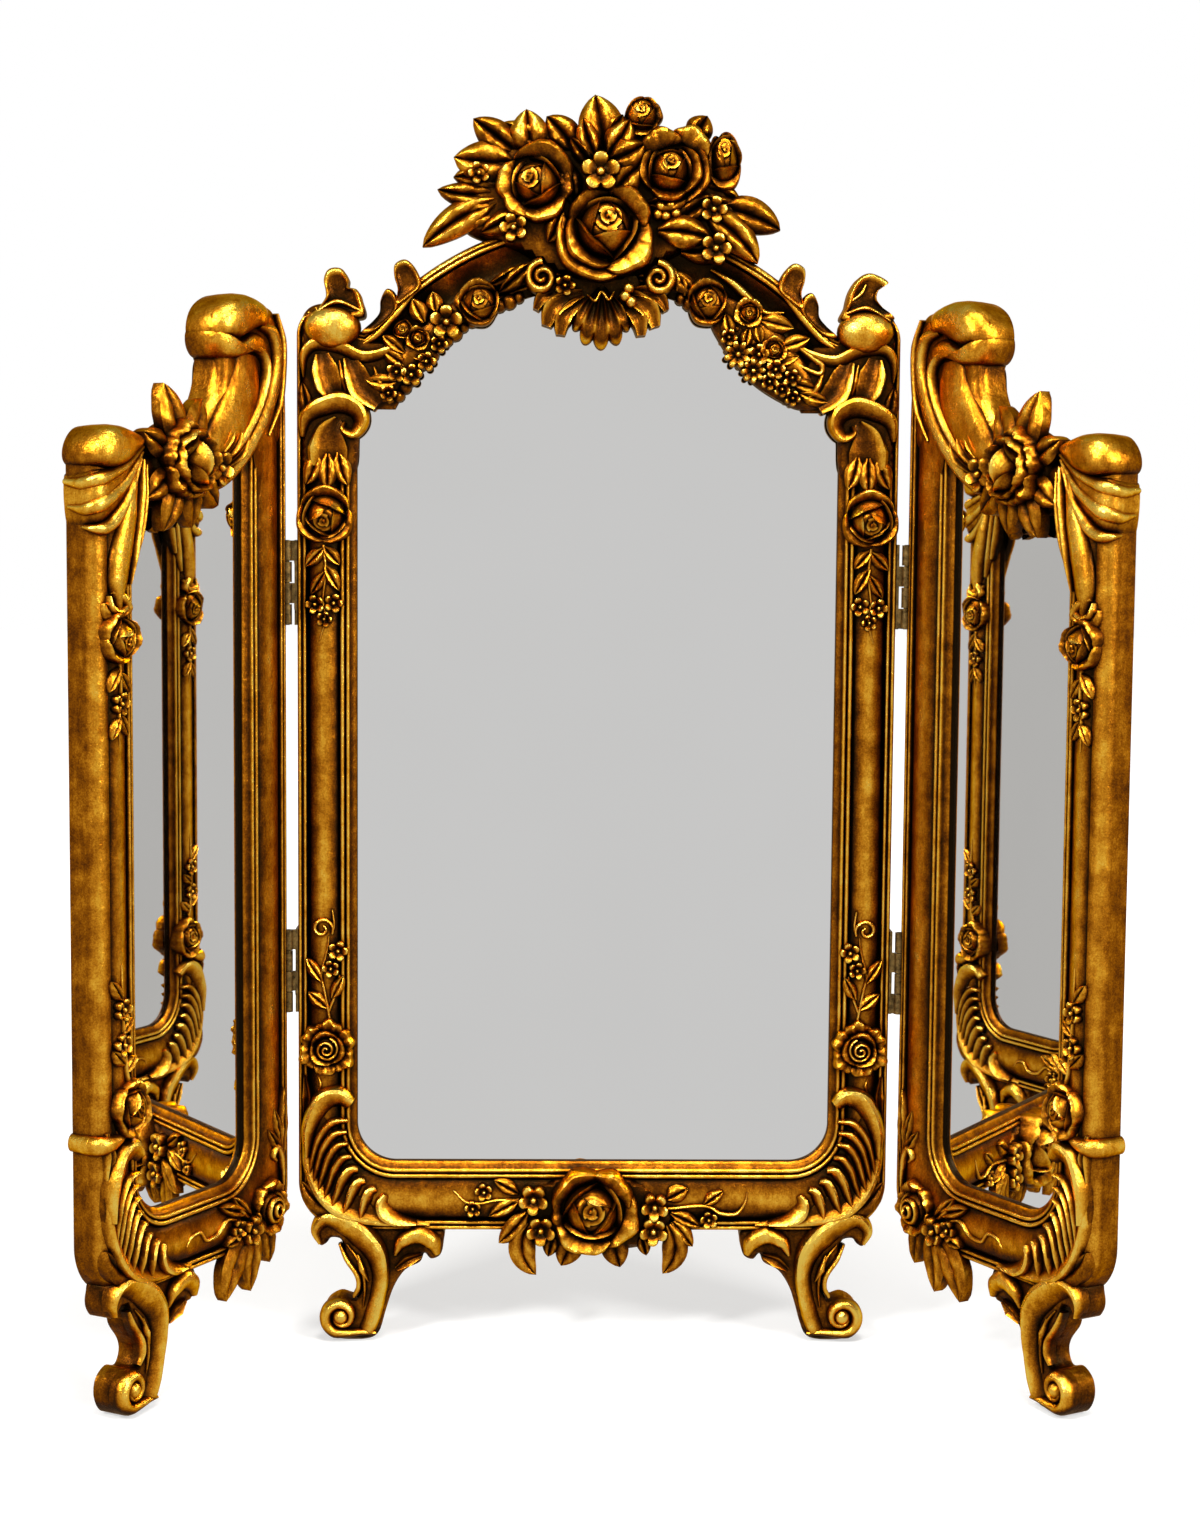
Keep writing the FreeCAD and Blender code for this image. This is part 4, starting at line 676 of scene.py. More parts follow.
def worn_metal(name, dark, light, scale, rough):
    """Aged metal, dark in patches."""
    material, tree, shader, where = new_material(name)
    spots = blend(tree, noise(tree, where, scale, 5, 0.65), 0.7, noise(tree, where, scale * 6, 3))
    plug(tree, shader, {
        "Base Color": ramp(tree, spots, [(0.36, dark), (0.64, light)]),
        "Metallic": 0.9,
        "Roughness": span(tree, spots, (rough - 0.1, rough + 0.15)),
        "Normal": bump(tree, spots, 0.2, 0.0003),
    })
    return material


GILT = gilt_material()
SILVER = mirror_material()
BOARD = board_material()
BRASS = worn_metal("aged_brass", (0.02, 0.011, 0.004), (0.33, 0.2, 0.06), 500, 0.42)
STEEL = worn_metal("dull_steel", (0.2, 0.19, 0.18), (0.5, 0.48, 0.46), 700, 0.38)


# Frames


def bead(side, first, last, foot, top):
    """Stations over a rounded bead between two depths from an edge, with a painted highlight on its crest and
    painted shade at its feet.
    """
    n, dark, bright = 6, 0.15, 0.95
    out = []
    for k in range(n + 1):
        a = math.pi * k / n
        share = math.sin(a)
        place = (first + last) / 2 - (last - first) / 2 * math.cos(a)
        out.append((side, place, foot + (top - foot) * share**0.8, dark + (bright - dark) * share))
    return out


def plain_panel(f):
    """Height, and brightness with a painted highlight on the swell, across a swelling panel."""
    s = math.sin(math.pi * f)
    return -1.6 + 2 * s**0.55, -0.02 + 0.74 * s**1.7


def cove_panel(f):
    """Height, and brightness with painted shade in the hollow, across a hollow panel."""
    s = math.sin(math.pi * f)
    return -0.6 - 2.6 * s**0.8, 0.5 - 0.42 * s**0.5


# How far from the glass the panel between the beads ends
PANEL_END = 5.3


def section(rim, second, groove, panel):
    """Stations across a frame: the edge each is measured from, how far, w and brightness, with painted shade
    in the grooves and down to the glass.
    """
    return [
        ("out", 0.8, -DEPTH, 0.1), ("out", 0, 0.8 - DEPTH, 0.25), ("out", 0, -5.5, 0.34),
        ("out", 0, -1.7, 0.45), *bead("out", *rim), *bead("out", *second), ("out", groove, -1.9, -0.15),
        *[("mid", f, *panel(f)) for f in np.linspace(0.02, 0.98, 15)], ("in", PANEL_END, -1.9, -0.15),
        *bead("in", 5.1, 3.6, -1.3, -0.15), ("in", 3.45, -1.6, -0.2), *bead("in", 3.35, 2.1, -1.4, -0.5),
        # Darker down to the glass: painted shade where the frame meets the glass
        ("in", 1.9, -1.7, 0), ("in", 0.9, -2.2, 0.3), ("in", 0.15, -2.6, 0.45), ("in", 0, -2.9, -0.2),
        ("in", 0, 0.04 - LIP, -0.8), ("in", REBATE, 0.02 - LIP, -0.8), ("in", REBATE, -DEPTH, 0),
    ]


PLAIN = section((0, 1.3, -1.1, -0.1), (1.6, 2.8, -1.1, -0.2), 3.15, plain_panel)
COVE = section((0, 2.6, -1.8, 0.4), (1.9, 3.4, -0.2, 1), 3.6, cove_panel)

# The plain section with one rounded edge in place of its outer beads, and a painted highlight half way round
# that edge
SOFT_EDGE = 4.2
SOFT = list(PLAIN)
for k, a in enumerate(np.radians(np.linspace(0, 90, 16))):
    w = SOFT_EDGE * (math.sin(a) - 1) - 0.1
    SOFT[3 + k] = ("out", SOFT_EDGE * (1 - math.cos(a)), w, 0.34 + 0.34 * math.sin(2 * a))


def frame_relief(pairs, chosen, other):
    """A frame along pairs of outer and inner runs; the chosen pairs take the other section."""
    outer, inner = (np.concatenate([run[:-1] for run in runs]) for runs in zip(*pairs))
    share = np.concatenate([np.full(len(o) - 1, float(k in chosen)) for k, (o, i) in enumerate(pairs)])
    for _ in range(6):
        share = (np.roll(share, 1) + share + np.roll(share, -1)) / 3
    inward, outward = side_of(outer, True), -side_of(inner, True)

    def ring(form, kind, d):
        """Points all round the frame at one station of a section."""
        if kind == "out":
            flat = outer + inward * d
        elif kind == "in":
            flat = inner + outward * d
        else:
            begin = max(far for where, far, _, _ in form if where == "out") + 0.12
            start, end = outer + inward * begin, inner + outward * PANEL_END
            flat = start + (end - start) * d
        return flat

    rings, wear_and_painted_light_rows = [], []
    for a, b in zip(PLAIN, other):
        flat = ring(PLAIN, *a[:2]) * (1 - share[:, None]) + ring(other, *b[:2]) * share[:, None]
        rings.append(np.column_stack([flat, a[2] * (1 - share) + b[2] * share]))
        wear_and_painted_light_rows.append(a[3] * (1 - share) + b[3] * share)
    at = np.arange(len(rings) * len(outer)).reshape(len(rings), len(outer))
    made = Relief()
    made.add(np.concatenate(rings), [quads(np.concatenate([at, at[:1]]), True)], np.concatenate(wear_and_painted_light_rows))
    return made


def rails(outer, inner, n):
    """Straight runs of the outer and the inner edge, each from its first point to its last."""
    return np.linspace(*outer, n), np.linspace(*inner, n)


def bends(outer, inner, first, last):
    """Arcs of the outer and the inner edge, each with its middle and radius."""
    n = 26
    return arc(*outer, first, last, n), arc(*inner, first, last, n)


def centre_runs():
    """Runs of the centre frame, from the lower rail up the right, over the arch and down the left."""
    arch_start = math.degrees(math.acos(SPRING_U / ARCH_R))
    ledge_start = math.degrees(math.asin((LEDGE - ARCH_V) / SIGHT_R))
    ledge_u = SIGHT_R * math.cos(math.radians(ledge_start))
    low_u, sight_u = HALF - CORNER, SIGHT_HALF - SIGHT_CORNER
    low_v, sight_v = BASE + CORNER, SIGHT_BASE + SIGHT_CORNER
    runs = [
        rails(((-low_u, BASE), (low_u, BASE)), ((-sight_u, SIGHT_BASE), (sight_u, SIGHT_BASE)), 60),
        bends((low_u, low_v, CORNER), (sight_u, sight_v, SIGHT_CORNER), -90, 0),
        rails(((HALF, low_v), (HALF, SHOULDER)), ((SIGHT_HALF, sight_v), (SIGHT_HALF, LEDGE)), 60),
        (arc(LOBE_U, SHOULDER, LOBE, 0, 172, 30), np.linspace((SIGHT_HALF, LEDGE), (ledge_u, LEDGE), 30)),
        (arc(0, ARCH_V, ARCH_R, arch_start, 180 - arch_start, 140),
         arc(0, ARCH_V, SIGHT_R, ledge_start, 180 - ledge_start, 140)),
    ]
    return runs + [tuple(run[::-1] * (-1, 1) for run in pair) for pair in runs[3:0:-1]]


def wing_runs():
    """Runs of a wing frame, from the lower rail up the outer edge, over the top and down the hinge side."""
    left, right, low, top = WING_SIGHT_LEFT, WING_SIGHT_RIGHT, SIGHT_BASE, WING_SIGHT_TOP
    c, s, t, k = CORNER, SIGHT_CORNER, WING_SIGHT_CORNER, WING_CORNER
    reach = math.degrees(math.acos((SWEEP_U - left) / SWEEP_R))
    sweep = arc(SWEEP_U, top + SWEEP_R, SWEEP_R, 270, 180 + reach, 30)
    neck = arc(NECK_U, WING_TOP + NECK_R, NECK_R, 270, 180, 30)
    crown = spline([(NECK_U - NECK_R, WING_TOP + NECK_R), (34.2, 300.4), (35.2, 305.6), (33, 310.6),
                    (27.6, 314), (21, 315), (14, 314.2), (9, 314), (5.2, 313.2), (2.4, 309.4), (0.9, 305),
                    (WING_IN, CROWN_V)], 60)
    turn_v = sweep[-1][1] - SWEEP_DROP
    return [
        rails(((WING_IN + c, BASE), (WING - c, BASE)), ((left + s, low), (right - s, low)), 30),
        bends((WING - c, BASE + c, c), (right - s, low + s, s), -90, 0),
        rails(((WING, BASE + c), (WING, WING_TOP - k)), ((right, low + s), (right, top - t)), 60),
        bends((WING - k, WING_TOP - k, k), (right - t, top - t, t), 0, 90),
        rails(((WING - k, WING_TOP), (NECK_U, WING_TOP)), ((right - t, top), (SWEEP_U, top)), 16),
        (neck, sweep),
        (crown, np.linspace(sweep[-1], (left, turn_v), len(crown))),
        rails(((WING_IN, CROWN_V), (WING_IN, BASE + c)), ((left, turn_v), (left, low + s)), 60),
        bends((WING_IN + c, BASE + c, c), (left + s, low + s, s), 180, 270),
    ]


# Flat fillings on the frames' backs, where the outer and the inner edge turn apart
SPRING_PATCH = [(71.5, 305.5), (67.5, 304.5), (64.8, 298), (62.5, 293.2), (63.8, 290), (67, 289.8),
                (70.4, 290.6), (71.6, 298)]
NECK_PATCH = [(10, 299), (15, 288.4), (17.6, 283.2), (21, 278.2), (25.4, 273.6), (30.6, 269.4), (36, 266),
              (40, 268.6), (40.4, 276.6), (36, 282.4), (32.6, 289), (31.4, 296), (27, 301), (18, 302.6)]
CORNER_PATCH = [(13.6, 260), (15, 264.4), (16.6, 268.8), (18.8, 272.8), (22, 276.4), (20, 281), (17, 286.4),
                (13.6, 289)]

# Which runs are not plain: the arch, which is hollow, and a wing's runs with a rounded edge
ARCH_RUNS = (4,)
SOFT_RUNS = (1, 2, 3, 4, 5, 6)

centre_body = frame_relief(centre_runs(), ARCH_RUNS, COVE)
for side in SIDES:
    centre_body.pillow([(side * u, v) for u, v in SPRING_PATCH], -DEPTH - 0.02, -6, 1, 2, 0.1)
piece("gilt_centre_frame", "centre", centre_body, "centre_frame")
for panel in WINGS:
    body = frame_relief(wing_runs(), SOFT_RUNS, SOFT)
    body.pillow(NECK_PATCH, -DEPTH - 0.02, -6, 1, 2, 0.05)
    body.pillow(CORNER_PATCH, -DEPTH - 0.01, -8, 1, 2, 0.05)
    piece(f"gilt_{panel}_frame", panel, body, f"{panel}_frame")


# Carved ornaments

# Brightness values put painted shade on the grounds behind the carvings and in their hollows, and painted
# highlights on rims and heights
SMALL_LEAF = {"camber": 0.9, "thick": 1.8, "rows": 11, "cols": 9}


def leaves(r, table, rest=(), **settings):
    """Leaves from rows of root, tip, half-width, w at the root and tip, bow and brightness.

    A row that stops after the half-width takes the other four values from rest.
    """
    for row in table:
        u, v, tip_u, tip_v, half, low, high, bow, bright = (*row, *rest[len(row) - 5 :])
        r.leaf((u, v), (tip_u, tip_v), half, low, high, bow, bright, **settings)


def petals(r, u, v, base, table, **settings):
    """Petals round one middle, from rows of inner and outer radius, place, span, height and brightness."""
    for inner, outer, place, span, height, bright in table:
        r.petal(u, v, base, inner, outer, place, span, height, bright=bright, **settings)


def crest():
    """The roses, leaves and small flowers on top of the arch, with the shell that hangs from them."""
    r = Relief()
    back = [
        (-40, 337), (-39, 346), (-35, 356), (-27, 362), (-14, 364), (0, 366), (10, 368), (20, 366.4),
        (28, 364), (36, 362), (38, 352), (41, 342), (38, 334), (24, 331), (12, 324), (0, 322), (-12, 324),
        (-24, 331),
    ]
    r.pillow(back, -7, 2, 3, 2.2, bright=0.42)
    leaves(r, [
        (-30, 346, -52.6, 332, 4.8, 1, 1.6, -0.05, 1),
        (-30, 347.5, -48.3, 348.9, 3.9, 0.4, 0.4, 0.05, 0.85),
        (-25, 356.5, -43.5, 358.2, 6.4, 1.2, 1, 0.03, 0.85),
        (-25, 360, -37.8, 369.6, 4.8, 0.4, 0.2, 0, 0.7), (-20.5, 359, -22.1, 372.4, 5.8, 1.4, 0.9, 0, 1),
        (-7.5, 360, -16.2, 370.4, 5, 1, 0.6, -0.04, 0.75), (1.2, 361, -1.9, 376.8, 6.6, 1.6, 1, 0, 0.95),
        (2.5, 365, 6.4, 371, 3, 2.4, 1.8, 0, 0.8), (-1.5, 358, -5.4, 369.6, 3.4, 4.6, 4, 0.05, 1),
        (-3, 356, -9, 363.8, 2.8, 4.2, 3.8, 0, 0.5), (2, 358.6, 8.4, 369.4, 4.6, 4.4, 3.4, -0.04, 1),
        (2.6, 357, 12.8, 362.2, 4.6, 6, 5.6, -0.05, 0.7), (35, 344.5, 53.4, 338, 5.4, 0.6, 0.8, 0.05, 0.45),
        (17, 337, 33, 334.6, 4.8, 4.2, 3.2, 0.06, 1), (31, 342.5, 46.8, 328.2, 5, 2.6, 1.6, 0.07, 0.95),
        (29, 350, 41.5, 346.6, 4, 0.4, 0.2, 0, 0.8), (-21, 341.5, -35.5, 336.2, 3.8, 2.2, 1.6, -0.03, 0.95),
        (-8, 345, -11, 358, 4, 3, 2.2, 0, 0.4), (-20.5, 327.4, -30, 318.8, 2.8, 1.2, 0.8, 0, 0.9),
        (-24, 326.8, -33.6, 320.8, 2, 0.8, 0.4, 0.06, 0.7),
        (3.4, 347, 12.4, 356.4, 4.6, 4.4, 5.4, 0.06, 0.95),
        (14, 345, 27.4, 348.6, 4.2, 3, 2.4, -0.06, 0.85), (22, 339.4, 35, 347.4, 4.2, 1.8, 1.4, 0.05, 0.7),
        (-12, 343, -15.6, 333.4, 3.6, 2.6, 3.2, 0.08, 0.75),
        (-29, 343, -44.6, 341.2, 4.6, 0.2, 0.2, 0.04, 0.7),
        (-27, 351, -43.6, 352.6, 4.4, 0, 0, -0.04, 0.75), (27, 364, 31.4, 371.2, 4.2, 0.2, 0, 0, 0.7),
        (-13, 362, -29.4, 368.6, 4.4, 0, 0, 0.05, 0.65), (24, 331.6, 40.4, 333.6, 4, 1.2, 0.8, -0.05, 0.8),
    ], camber=2, thick=3, swell=1)
    r.bud(1.6, 337.8, 3, (9.4, 9.6), 10.4, turn=0.08, lean=(0.12, 0.42))
    petals(r, 1.6, 337.5, 2.4, [
        (8.8, 13.2, 0.61, 0.34, 6.6, 1), (11.4, 16.4, 0.63, 0.38, 4.6, 0.95), (9, 15.8, 0.89, 0.3, 6, 0.95),
        (9, 14.8, 0.12, 0.26, 6, 0.8), (8.8, 13, 0.36, 0.26, 4.4, 0.55),
    ])
    r.bud(-19.2, 350.6, 2.6, (7.7, 7.9), 8.8, turn=0.3, lean=(-0.38, 0.22))
    petals(r, -19.2, 350.6, 2, [
        (7.4, 13, 0.17, 0.4, 5.6, 0.55), (7.2, 12, 0.5, 0.26, 5, 0.95), (7.2, 12, 0.81, 0.3, 5.2, 0.95),
        (7.4, 11.8, 0.64, 0.24, 4.4, 0.8), (7.4, 11.4, 0.98, 0.22, 4.6, 0.55),
    ])
    r.bud(20.2, 354.6, 3, (6.7, 7.2), 8.4, turn=0.55, lean=(0.1, 0.45))
    petals(r, 20.2, 354.8, 2.2, [
        (6.4, 9.8, 0.99, 0.36, 6, 0.9), (8.8, 12.4, 0.97, 0.34, 4.4, 0.55), (6.4, 9.8, 0.5, 0.3, 5.2, 0.9),
        (6.6, 13, 0.31, 0.26, 5, 0.75), (8.6, 15.2, 0.14, 0.2, 4, 0.85), (6.4, 9.6, 0.74, 0.28, 5.4, 0.9),
    ])
    r.bud(11.8, 370.8, 1.2, (5.5, 5.9), 5.4, turn=0.2, lean=(0, 0.4), bright=0.9)
    petals(r, 11.8, 370.6, 0.8, [(3.8, 6.8, 0.74, 0.46, 3.8, 1), (3.8, 6.4, 0.02, 0.3, 3, 0.7)])
    r.bud(36.4, 358.4, 1.2, (4.9, 8.2), 5.6, turn=0.6, lean=(0, 0.5), bright=0.6)
    petals(r, 36.4, 357.4, 0.8, [
        (3.8, 6.2, 0.78, 0.44, 3.4, 0.55), (3.6, 5.6, 0.1, 0.3, 3, 0.5),
    ], squeeze=1.4)
    for u, v, w, size, turn in (
        (-0.2, 353.6, 7.6, 6, 0.05), (-25.7, 337.6, 3.8, 4.4, 0.1), (33.3, 343.4, 4, 4.2, 0.2),
        (34, 332, 5, 4.8, 0), (-35.9, 353.4, 3, 3.4, 0.1), (-10.4, 321, 2.6, 3.2, 0.2),
    ):
        r.blossom(u, v, w, size, 2.1, turn=turn)
    for u, v in (
        (17.6, 344.2), (20.6, 344.6), (19.2, 341.4), (22.2, 342.2), (16.8, 341.8), (8.4, 320.4), (7.4, 318),
        (9.2, 316.4),
    ):
        r.dome(u, v, 3.6, 1.7, 2.2, rows=6, cols=12)
    for side in SIDES:
        coil = spiral(side * 17.2, 323.4, 4.7, 0.5, 0.25, side * -1.7, 36)
        r.stroke(coil, [1.5, 1.5, 1.3, 1.1, 1], [3.2, 3.6, 3.6, 3.4, 3.4], 0.2, n=64)
        # A dark filling inside the coil: painted shade
        r.dome(side * 17.2, 323.4, 0.2, 4.4, 1.2, wear_and_painted_light=(0, 0.15))
    for k in range(4):
        r.stroke([(20 + 2 * k, 327.6 - 1.2 * k), (21 + 2.2 * k, 324.4 - 1.4 * k),
            (20.4 + 2.4 * k, 321.4 - 1.4 * k)], [0.6, 1.2, 0.7], [1.4, 2.2, 1.2], 0, n=12, bright=0.7)
    r.fan(0.5, 322, 19.3, 42, 5, -0.4, 3.4)
    r.pillow([(-12, 318), (-6, 312), (6.6, 312), (12.6, 318), (10, 326), (-10, 326)], -4, 0.2, 2, 1.4,
        bright=0.4)
    r.stroke([(-3.8, 318.4), (-1.4, 316.6), (0.4, 319.4), (2.6, 317), (4.2, 319.4)],
        [0.4, 0.7, 0.6, 0.7, 0.4], 1.6, 1.6)
    for side in SIDES:
        for path, wide in (
            ([(5.4, 319), (10, 317.4), (14.4, 314.2), (16.2, 309.4)], [1.4, 3, 3.4, 1.6]),
            ([(5, 317.4), (8.6, 314.8), (11.4, 311), (12, 306.8)], [1.2, 2.4, 2.8, 1.4]),
            ([(8, 319.4), (13, 319.6), (17.4, 317.6), (19.4, 314.2)], [1, 2.2, 2.4, 1]),
        ):
            r.stroke([(side * u + 0.4, v) for u, v in path], wide, [1.6, 2.6, 2.8, 1.4], -0.2, 3.4, GUTTER,
                24, 0.85)
    return r


def garlands():
    """Flowers and leaves along both haunches of the arch."""
    r = Relief()
    for side in SIDES:
        vine = arc(0, ARCH_V, VINE_R, 31, 64, 8) * (side, 1)
        r.stroke(vine, [2.6, 4, 4.4, 4.2, 3.4, 1.6], [1.6, 2.2, 2.4, 2.2, 1.6, 0.8], -0.6, n=40,
            bright=0.45)
        beads = arc(0, ARCH_V, BEADS_R, 31, 64 + math.degrees(0.1), 10) * (side, 1)
        for k, (u, v) in enumerate(spline(beads, 16)):
            r.dome(u, v, -1.6, 1.8 + 0.35 * (k % 3), 2.8, rows=6, cols=12, wear_and_painted_light=(0.05, 0.55))
    ground = [
        (33, 311.6), (37, 303.6), (41.4, 297.8), (47, 292.4), (54, 288), (60.6, 285.4), (66, 287),
        (60, 295), (52, 303), (44, 310), (38, 314),
    ]
    r.pillow(ground, -3.2, 0.7, 1.6, 1.4, bright=0.35)
    for u, v, size, turn in ((-35.6, 315.8, 6, 0.1), (32.2, 316.6, 6, 0.4)):
        r.bud(u, v, 0.8, size, 5.4, turn=turn, lean=(0, 0.2), bright=0.85)
        petals(r, u, v, 0.4, [(4.8, 7.4, 0.3, 0.4, 3.4, 0.95), (4.8, 7, 0.72, 0.36, 3, 0.6)])
    for u, v, size, turn in ((-53.8, 305.2, 3.8, 0.3), (44.3, 313.6, 4.6, 0.1), (52, 302.8, 4.2, 0.2)):
        r.rose(u, v, 1.2, size, 3.6, turn)
    r.bud(-58.4, 307.8, 1, 3, 3, turn=0.2)
    leaves(r, [
        (-52, 310, -55.6, 316.8, 2.7, 1.6, 1.2, 0, 1), (-48.6, 313, -49.6, 319, 2.5, 1.6, 1, 0, 1),
        (-58, 297.4, -64, 301.6, 2.5), (-60.4, 292.4, -69.4, 293, 2.6, 2.2, 1.6, 0.06, 1),
        (-58, 301, -64.4, 306, 2.3), (-41, 313, -40.6, 319.8, 2.5, 1.4, 1, 0, 1),
        (-50, 299, -56, 300.2, 2.1, 1.4, 1, 0, 0.8), (28, 319.4, 20.8, 325.6, 2.8, 1.2, 0.8, 0, 0.8),
        (48, 311.6, 57.8, 309.4, 2.9, 1.4, 1, 0, 0.8), (54, 303.4, 62.6, 306.4, 2.6),
        (39, 307, 37.4, 313.4, 2.4), (48, 305, 46.8, 310.6, 2.3), (58, 293, 64.6, 291.4, 2.4),
        (60, 290, 68.4, 287.6, 2.4), (53, 298.6, 59.4, 301.2, 2.3, 1.4, 1, 0, 0.85),
        (43, 303.4, 44.4, 309.6, 2.2, 1.4, 1, 0, 0.85),
    ], (1.4, 1, 0, 0.9), camber=0.9, thick=2.6, rows=11, cols=9)
    r.blossom(-45.5, 310, 1.6, 5.2, 2.4, turn=0.25)
    for u, v, s, n in (
        (-60.2, 295.2, 3.2, 5), (-55.8, 294.4, 3.4, 5), (-51.4, 298.4, 3, 5), (-62.6, 289, 2.6, 5),
        (-47.6, 303.6, 2.8, 5), (41.2, 301.4, 4.2, 8), (45.8, 296.6, 3.7, 8), (50.6, 293.4, 2.6, 5),
        (54.4, 291.2, 2.5, 5), (38.4, 306.4, 2.6, 5), (57.6, 288.6, 2.4, 5), (47.4, 301.4, 3.3, 5),
        (52.4, 297, 3.1, 5), (57.4, 294.6, 2.7, 5),
    ):
        r.blossom(u, v, 1.3, s, 1.9, petals=n, turn=0.07 * s)
    r.stroke([(33, 326.4), (40, 322), (46, 316.4), (49.4, 313.8), (55, 314)], [0.5, 1.4, 1.5, 1.1, 0.4],
        [0.8, 2.2, 2.4, 1.8, 0.6], -1.2)
    r.stroke([(57, 305.4), (64, 300.2), (66.4, 298.4), (65.2, 296), (57, 299.6)], [0.6, 1, 1.1, 1, 0.6],
        [1, 2.2, 2.4, 2.2, 1], 0, n=34)
    return r


def shoulder():
    """The right shoulder: ball, band, hollow petals, hooked scroll and a hanging leaf with three points."""
    r = Relief()
    body = [
        (88.8, 306), (87, 313.4), (81, 315.4), (74.6, 313), (71.6, 306.4), (62, 302.6), (63, 288),
        (71, 283.6), (71.6, 276), (72.8, 266), (80.6, 262.6), (88.4, 264), (88.8, 280),
    ]
    r.pillow(body, -2.2, 0.6, 1.8, 1.4, bright=0.2)
    r.dome(79.2, 308.2, 0.2, (8.4, 6.4), 6, rows=14, cols=30, wear_and_painted_light=(0.5, 0.85))
    r.stroke([(87.6, 293.6), (87.4, 300), (84, 303.2), (77, 302.4), (70.4, 299.6), (63.6, 301),
        (58.4, 304.4)], [0.5, 1.7, 2.3, 2.4, 2.2, 1.9, 0.6], [1.2, 2.6, 3.2, 3.2, 2.8, 2.2, 0.8], 0,
        form=CREASE, n=44, bright=0.9)
    r.stroke([(82.4, 300.4), (81.6, 296), (80.2, 291), (77.6, 286.4)], [2.2, 4.4, 4.4, 1.8],
        [2.4, 4, 4.2, 2.4], -0.4, form=SCOOP, n=30, bright=0.9)
    r.stroke([(74.6, 299.6), (72.6, 295), (70.4, 290), (65.6, 285.8)], [1.8, 3.8, 4.6, 2.6],
        [2.2, 3.8, 4.2, 2.6], -0.4, form=SCOOP, n=30, bright=0.9)
    r.stroke([(77.2, 298.6), (76.2, 293.4), (74.8, 288.2)], [0.5, 1.2, 0.6], [1.6, 2.8, 1.6], 0, bright=0.9)
    r.stroke([(67, 296.8), (65.2, 292.2), (62.6, 288.6)], [0.5, 1.3, 0.7], [1.2, 2.6, 1.4], 0, bright=0.9)
    r.stroke([(88, 276), (87, 281.6), (83, 284.6), (77, 286.2), (72.2, 284.2), (70.9, 280.4), (73.2, 277.2),
        (76, 278.4), (75.4, 280.4)], [0.8, 2.4, 3.2, 3.6, 3.2, 2.5, 1.9, 1.3, 0.7],
        [1.2, 2.8, 3.8, 4.2, 4.2, 3.6, 3, 2.6, 2.2], 0.2, form=CREASE, n=54, bright=0.8)
    r.stroke([(77.6, 281.4), (80, 277.4), (80.6, 272.6), (80.6, 267.6)], [1.4, 4.6, 6.4, 6.2],
        [1.8, 2.8, 3, 1.8], -0.2, form=SCOOP, n=36, bright=0.85)
    leaves(r, [
        (86.4, 282, 88.2, 292, 2.4, 0.6, 0.4, 0, 0.6), (77.4, 271.4, 74.6, 261.8, 3, 0.8, 1.4, 0.06, 0.9),
        (84, 271.4, 87.2, 261.8, 3, 0.8, 1.4, -0.06, 0.9), (80.7, 271, 80.8, 260.4, 3, 1.2, 2, 0, 0.95),
    ], thick=2.4)
    return r


def finials():
    """A curled leaf over each shoulder ball; the right one hooks outwards."""
    r = Relief()
    right = [
        (72.6, 311.4), (73.2, 316), (74.4, 320.6), (77, 324.4), (80.8, 325.7), (85.8, 323.2), (83.2, 321.2),
        (82.4, 318.2), (84.2, 315.6), (87.4, 312),
    ]
    left = [
        (-83.2, 312), (-81.2, 317.4), (-81.8, 322.4), (-80.2, 325.4), (-76.6, 325.5), (-74.5, 322.6),
        (-74.4, 320.2), (-72, 319.4), (-70.6, 316.6), (-70.4, 311),
    ]
    r.cup(left, -6.4, 2.6, 1.2, (-76.8, 317.6), 0.85)
    r.cup(right, -6.4, 2.6, 1.2, (79, 318), 0.9)
    for path in ([(-71, 313.2), (-78, 315.6), (-85.4, 311.6)], [(73, 313.6), (79.4, 315.2), (86.4, 311.6)]):
        r.stroke(path, [0.5, 0.9, 0.5], [1, 2, 1], 1.6)
    r.stroke([(74.2, 317), (77.4, 319.4), (79, 322.2)], [0.4, 0.7, 0.4], [0.6, 1.2, 0.6], 1.4)
    return r


def rim_curls():
    """Curled leaves on the right haunch of the arch."""
    r = Relief()
    curl = [
        (53, 320.6), (54.4, 325.4), (57.6, 328.4), (60.8, 327), (61, 323.4), (60, 319.6), (60.6, 314.6),
        (56.4, 317.2),
    ]
    r.cup(curl, -6, 2, 1.2, (57.8, 321.4), 0.85)
    curl = [
        (60, 313.8), (60.6, 318.4), (63.2, 319.8), (65, 316.6), (65.4, 312.6), (68, 309.4), (71.2, 306.4),
        (66.4, 307.4),
    ]
    r.cup(curl, -6, 1.8, 1.1, (64.4, 312.6), 0.75)
    r.stroke([(54, 320), (60, 312.8), (66, 306.4), (71, 303)], [0.6, 1.3, 1.3, 0.5], [1, 2, 2, 0.8], -0.4,
        bright=0.9)
    return r


